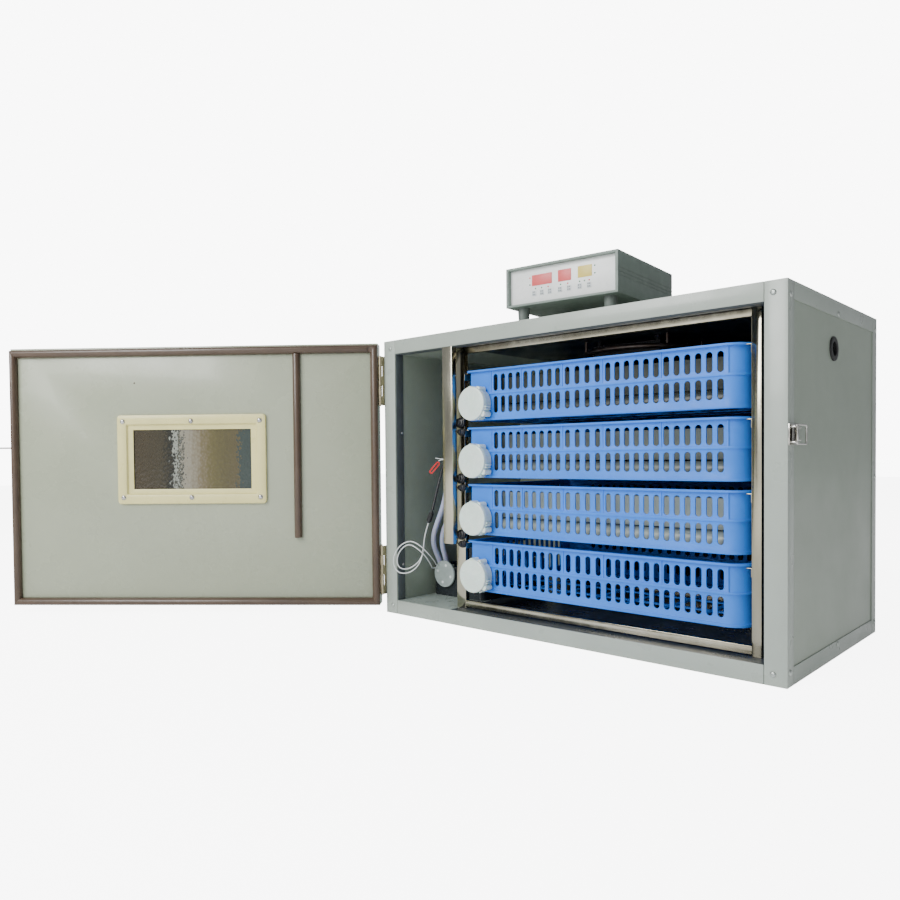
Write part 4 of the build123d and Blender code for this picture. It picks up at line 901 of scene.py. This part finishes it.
class INCUBATOR_OT_trays(Operator):
    """Slotted egg trays, turning motors, rollers and dividers"""
    bl_idname = "incubator.trays"
    bl_label = "Egg Trays"

    def execute(self, context):
        look = context.scene.incubator_tray
        for number in TRAY_NUMBERS:
            body = f"tray_{number}"
            softened_piece(f"tray_basket_{number}", look.edge_round / MM, "Basket Blue", body)
            self.motor_cap(number, body)
        # Each tray's rollers take the copy of the roller's plastic that carries their tray's painted shade.
        for number in TRAY_NUMBERS[:3]:
            coat_nodes(f"Roller Plastic Painted Shade {number}", f"roller_rack_{number}")
        coat_nodes("Roller Plastic Painted Shade 1", *[f"roller_1_{index}" for index in range(1, 6)])
        coat_nodes("Latch Steel", "turning_shaft_1")
        return {"FINISHED"}

    def motor_cap(self, number, body):
        """The round cap with its stepped rim, lugs and finger ribs, and the motor behind the wall."""
        x, z, face = MOTOR_X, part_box(f"tray_basket_{number}")[1].z / MM - MOTOR_DROP, CAP_FACE_Y
        bm = bmesh.new()
        cap = [(0, 0), (25.6, 0), (27.0, 0.25), (28.0, 1.0), (28.4, 2.2), (28.5, 8.6), (27.9, 9.2),
               (26.6, 9.3), (26.3, 9.6), (26.3, 21.6), (25.6, 22.0), (0, 22.0)]
        add_turned(bm, cap, (x, face, z), (0, 1, 0), 80)
        lug = [(0, 0), (3.8, 0), (4.7, 0.4), (5.0, 1.2), (5.0, 16.4), (4.4, 17.0), (0, 17.0)]
        for angle, reach in ((62, 26.5), (100, 25.2), (-38, 29.0)):
            dx, dz = reach * math.cos(math.radians(angle)), reach * math.sin(math.radians(angle))
            add_turned(bm, lug, (x + dx, face + 3.2, z + dz), (0, 1, 0), 28)
        for angle in map(math.radians, (-12, -20, -56, -64)):
            spot = Vector((x + 29.6 * math.cos(angle), face + 4.5, z + 29.6 * math.sin(angle)))
            add_rod(bm, spot, spot + Vector((0, 13.5, 0)), 1.2, 12, 0.5)
        add_rod(bm, (x, -172, z), (x, -170, z), 7.8, 24, 0.2)
        add_rod(bm, (x + 7, -164, z), (x + 7, -154, z), 13.8, 40, 1.0)
        add_rod(bm, (x + 7, -167.5, z), (x + 7, -164, z), 4, 20, 0.2)
        add_block(bm, (x + 7, -131.6), (-163.8, -154.2), (z - 11.8, z + 11.8), 0.8)
        finished(bm, f"motor_cap_{number}", "Cap Plastic", body, (f"turner_motor_{number}",))


class INCUBATOR_OT_door(Operator):
    """Door, gasket, window frame, rippled panes and screws"""
    bl_idname = "incubator.door"
    bl_label = "Door and Window"

    def execute(self, context):
        softened_piece("door_panel", 0.8, "Door Skin", "door")
        softened_piece("door_gaskets", 0.5, "Gasket Rubber", "door")
        coat_nodes("Rippled Glass", "window_panes")
        for face, out, node in ((-210.0, 1, ("window_frame",)), (-238.0, -1, ())):
            self.window_frame(face, out, node)
        self.screws()
        profile = [(0, 0.3), (1.2, 0.25), (1.7, 0.0), (0, 0)]
        plug = add_turned(bmesh.new(), profile, (101, -210, 430), (0, 1, 0), 16)
        finished(plug, "door_hole_plug", "Gasket Rubber", "door", (), DOOR_SWING)
        return {"FINISHED"}

    def window_frame(self, face, out, node):
        """A moulded frame: rounded border, a deep step, and a ledge round the glass."""
        bm = bmesh.new()
        rims = [rounded_loop(bm, *row) for row in FRAME_SECTION]
        bmesh.ops.delete(bm, geom=list(bm.faces), context="FACES_ONLY")
        for first, second in zip(rims, rims[1:] + rims[:1]):
            bmesh.ops.bridge_loops(bm, edges=first + second)
        plane = Matrix.Translation(Vector((WINDOW_X, face, WINDOW_Z)) * MM)
        turn = Matrix.Rotation(math.radians(-90 * out), 4, "X")
        name = "window_frame_inside" if out > 0 else "window_frame_outside"
        finished(bm, name, "Frame Cream", "door", node, DOOR_SWING @ plane @ turn)

    def screws(self):
        """Pan head screws, each with a round dip where the cross recess is, three above and three below the
        glass on each face.
        """
        bm = bmesh.new()
        head = [(0, 1.5), (0.8, 1.55), (1.1, 2.25), (2.2, 2.2), (3.4, 1.5), (3.9, 0.6), (4.0, 0.0), (4.9, 0.0),
                (4.9, -0.3), (0, -0.3)]
        for face, out in ((-205.0, 1), (-243.0, -1)):
            for dx in (-129.5, 0, 129.5):
                for dz in (-71, 71):
                    add_turned(bm, head, (WINDOW_X + dx, face, WINDOW_Z + dz), (0, out, 0), 28)
        finished(bm, "window_screw_heads", "Screw Steel", "door", ("window_screws",), DOOR_SWING)


class INCUBATOR_OT_hinges(Operator):
    """Hinge leaves, knuckles and pins"""
    bl_idname = "incubator.hinges"
    bl_label = "Hinges"

    def execute(self, context):
        softened_piece("hinge_cabinet_leaves", 0.25, "Hinge Zinc", "cabinet", 1)
        softened_piece("hinge_door_leaves", 0.25, "Hinge Zinc", "door", 1)
        softened_piece("hinge_pins", 0.3, "Hinge Zinc", "cabinet")
        return {"FINISHED"}


class INCUBATOR_OT_latch(Operator):
    """Draw latch and the keeper on the door"""
    bl_idname = "incubator.latch"
    bl_label = "Draw Latch"

    def execute(self, context):
        softened_piece("latch_base", 0.3, "Latch Steel", "cabinet")
        softened_piece("latch_lever", 0.3, "Latch Steel", "latch_lever")
        softened_piece("latch_keeper", 0.35, "Latch Steel", "door")
        coat_nodes("Latch Steel", "latch_bail")
        return {"FINISHED"}


class INCUBATOR_OT_controller(Operator):
    """Controller case, face, displays, lamps, keys and feet"""
    bl_idname = "incubator.controller"
    bl_label = "Controller"

    def execute(self, context):
        for node in ("controller_top_shell", "controller_bottom_shell"):
            softened_piece(node, 0.7, "Case Plastic", "cabinet")
        softened_piece("controller_panels", 0.3, "Face Panel", "cabinet")
        softened_piece("rear_inlets", 0.3, "Black Plastic", "cabinet")
        coat_nodes("Board Green", "control_board")
        self.displays()
        self.keys()
        self.feet()
        return {"FINISHED"}

    def displays(self):
        lenses = ((44.5, 81.0, 31.0, 48.0), (92.0, 115.0, 31.0, 49.0), (126.7, 150.7, 32.0, 49.5))
        for number, (x0, x1, z0, z1) in enumerate(lenses, 1):
            bm = add_block(bmesh.new(), (x0, x1), (7.2, 8.2), (z0, z1), 0.35)
            finished(bm, f"display_lens_{number}", "Yellow Lens" if number == 3 else "Red Lens", "cabinet",
                     ("display_lights",) if number == 1 else (), CASE_SEAT)
        lamps = {"Red Lamp": [(40.6, 44.5), (74.0, 26.5), (109.1, 26.5), (145.9, 26.5)],
                 "Green Lamp": [(40.6, 33.5), (155.4, 47.0), (155.4, 35.5), (51.0, 26.5), (62.3, 26.5),
                                (96.5, 26.5), (129.7, 26.5), (137.9, 26.5)]}
        dome = [(0, 0.9), (0.7, 0.75), (1.15, 0.35), (1.3, -0.2), (0, -0.2)]
        for material, spots in lamps.items():
            bm = bmesh.new()
            for x, z in spots:
                add_turned(bm, dome, (x, 8.0, z), (0, -1, 0), 20)
            name = material.lower().replace(" ", "_") + "s"
            finished(bm, name, material, "cabinet", (), CASE_SEAT)

    def keys(self):
        """Membrane keys, each with a plain two-row mark."""
        bm, marks = bmesh.new(), bmesh.new()
        for x in (48.4, 62.7, 77.1, 95.3, 111.2, 129.6, 145.7):
            add_block(bm, (x - 3.7, x + 3.7), (7.4, 8.2), (14.8, 23.2), 0.35)
            for mark_z in (19 - 1.9, 19 + 1.9):
                for mark_x in (x - 1.4, x + 1.4):
                    add_block(marks, (mark_x - 0.9, mark_x + 0.9), (7.25, 7.5), (mark_z - 1.2, mark_z + 1.2))
        finished(bm, "membrane_keys", "Key White", "cabinet", ("keypad_keys",), CASE_SEAT)
        finished(marks, "membrane_key_marks", "Key Mark", "cabinet", (), CASE_SEAT)

    def feet(self):
        bm = bmesh.new()
        profile = [(0, -29.5), (7.4, -29.5), (8.0, -28.8), (8.3, -26), (9.8, -3), (10.0, -1.0), (10.0, 0),
                   (0, 0)]
        for x, y in ((20, 22), (174, 22), (20, 186), (174, 186)):
            add_turned(bm, profile, (x, y, 0), (0, 0, 1), 40)
        finished(bm, "rubber_feet", "Foot Rubber", "cabinet", ("controller_feet",), CASE_SEAT)


# ---------------------------------------------------------------- panel and registration

STEPS = ("stage", "lines", "shell", "rack", "air", "service_bay", "trays", "door", "hinges", "latch",
         "controller")


class INCUBATOR_PT_panel(Panel):
    bl_label = "Egg Incubator"
    bl_idname = "INCUBATOR_PT_panel"
    bl_space_type = "VIEW_3D"
    bl_region_type = "UI"
    bl_category = "Incubator"

    def draw(self, context):
        for step in STEPS:
            self.layout.operator(f"incubator.{step}")
        for look in LOOKS:
            settings = getattr(context.scene, look)
            column = self.layout.column(heading=look.replace("_", " ").title())
            for name in settings.bl_rna.properties.keys():
                if name not in ("rna_type", "name"):
                    column.prop(settings, name)


LOOKS = {"incubator_cabinet": CabinetLook, "incubator_bay": BayLook, "incubator_tray": TrayLook,
         "incubator_door": DoorLook, "incubator_controller": ControllerLook, "incubator_stage": StageLook}
CLASSES = (*LOOKS.values(), INCUBATOR_OT_stage, INCUBATOR_OT_lines, INCUBATOR_OT_shell, INCUBATOR_OT_rack,
           INCUBATOR_OT_air, INCUBATOR_OT_service_bay, INCUBATOR_OT_trays, INCUBATOR_OT_door,
           INCUBATOR_OT_hinges, INCUBATOR_OT_latch, INCUBATOR_OT_controller, INCUBATOR_PT_panel)


def register():
    for cls in CLASSES:
        bpy.utils.register_class(cls)
    for name, cls in LOOKS.items():
        setattr(bpy.types.Scene, name, PointerProperty(type=cls))


def unregister():
    for name in LOOKS:
        delattr(bpy.types.Scene, name)
    for cls in reversed(CLASSES):
        bpy.utils.unregister_class(cls)


def main():
    register()
    make_groups()
    make_finishes(bpy.context.scene)
    for step in STEPS:
        result = getattr(bpy.ops.incubator, step)()
        if "FINISHED" not in result:
            raise RuntimeError(f"the {step} step did not finish")


if __name__ == "__main__":
    main()
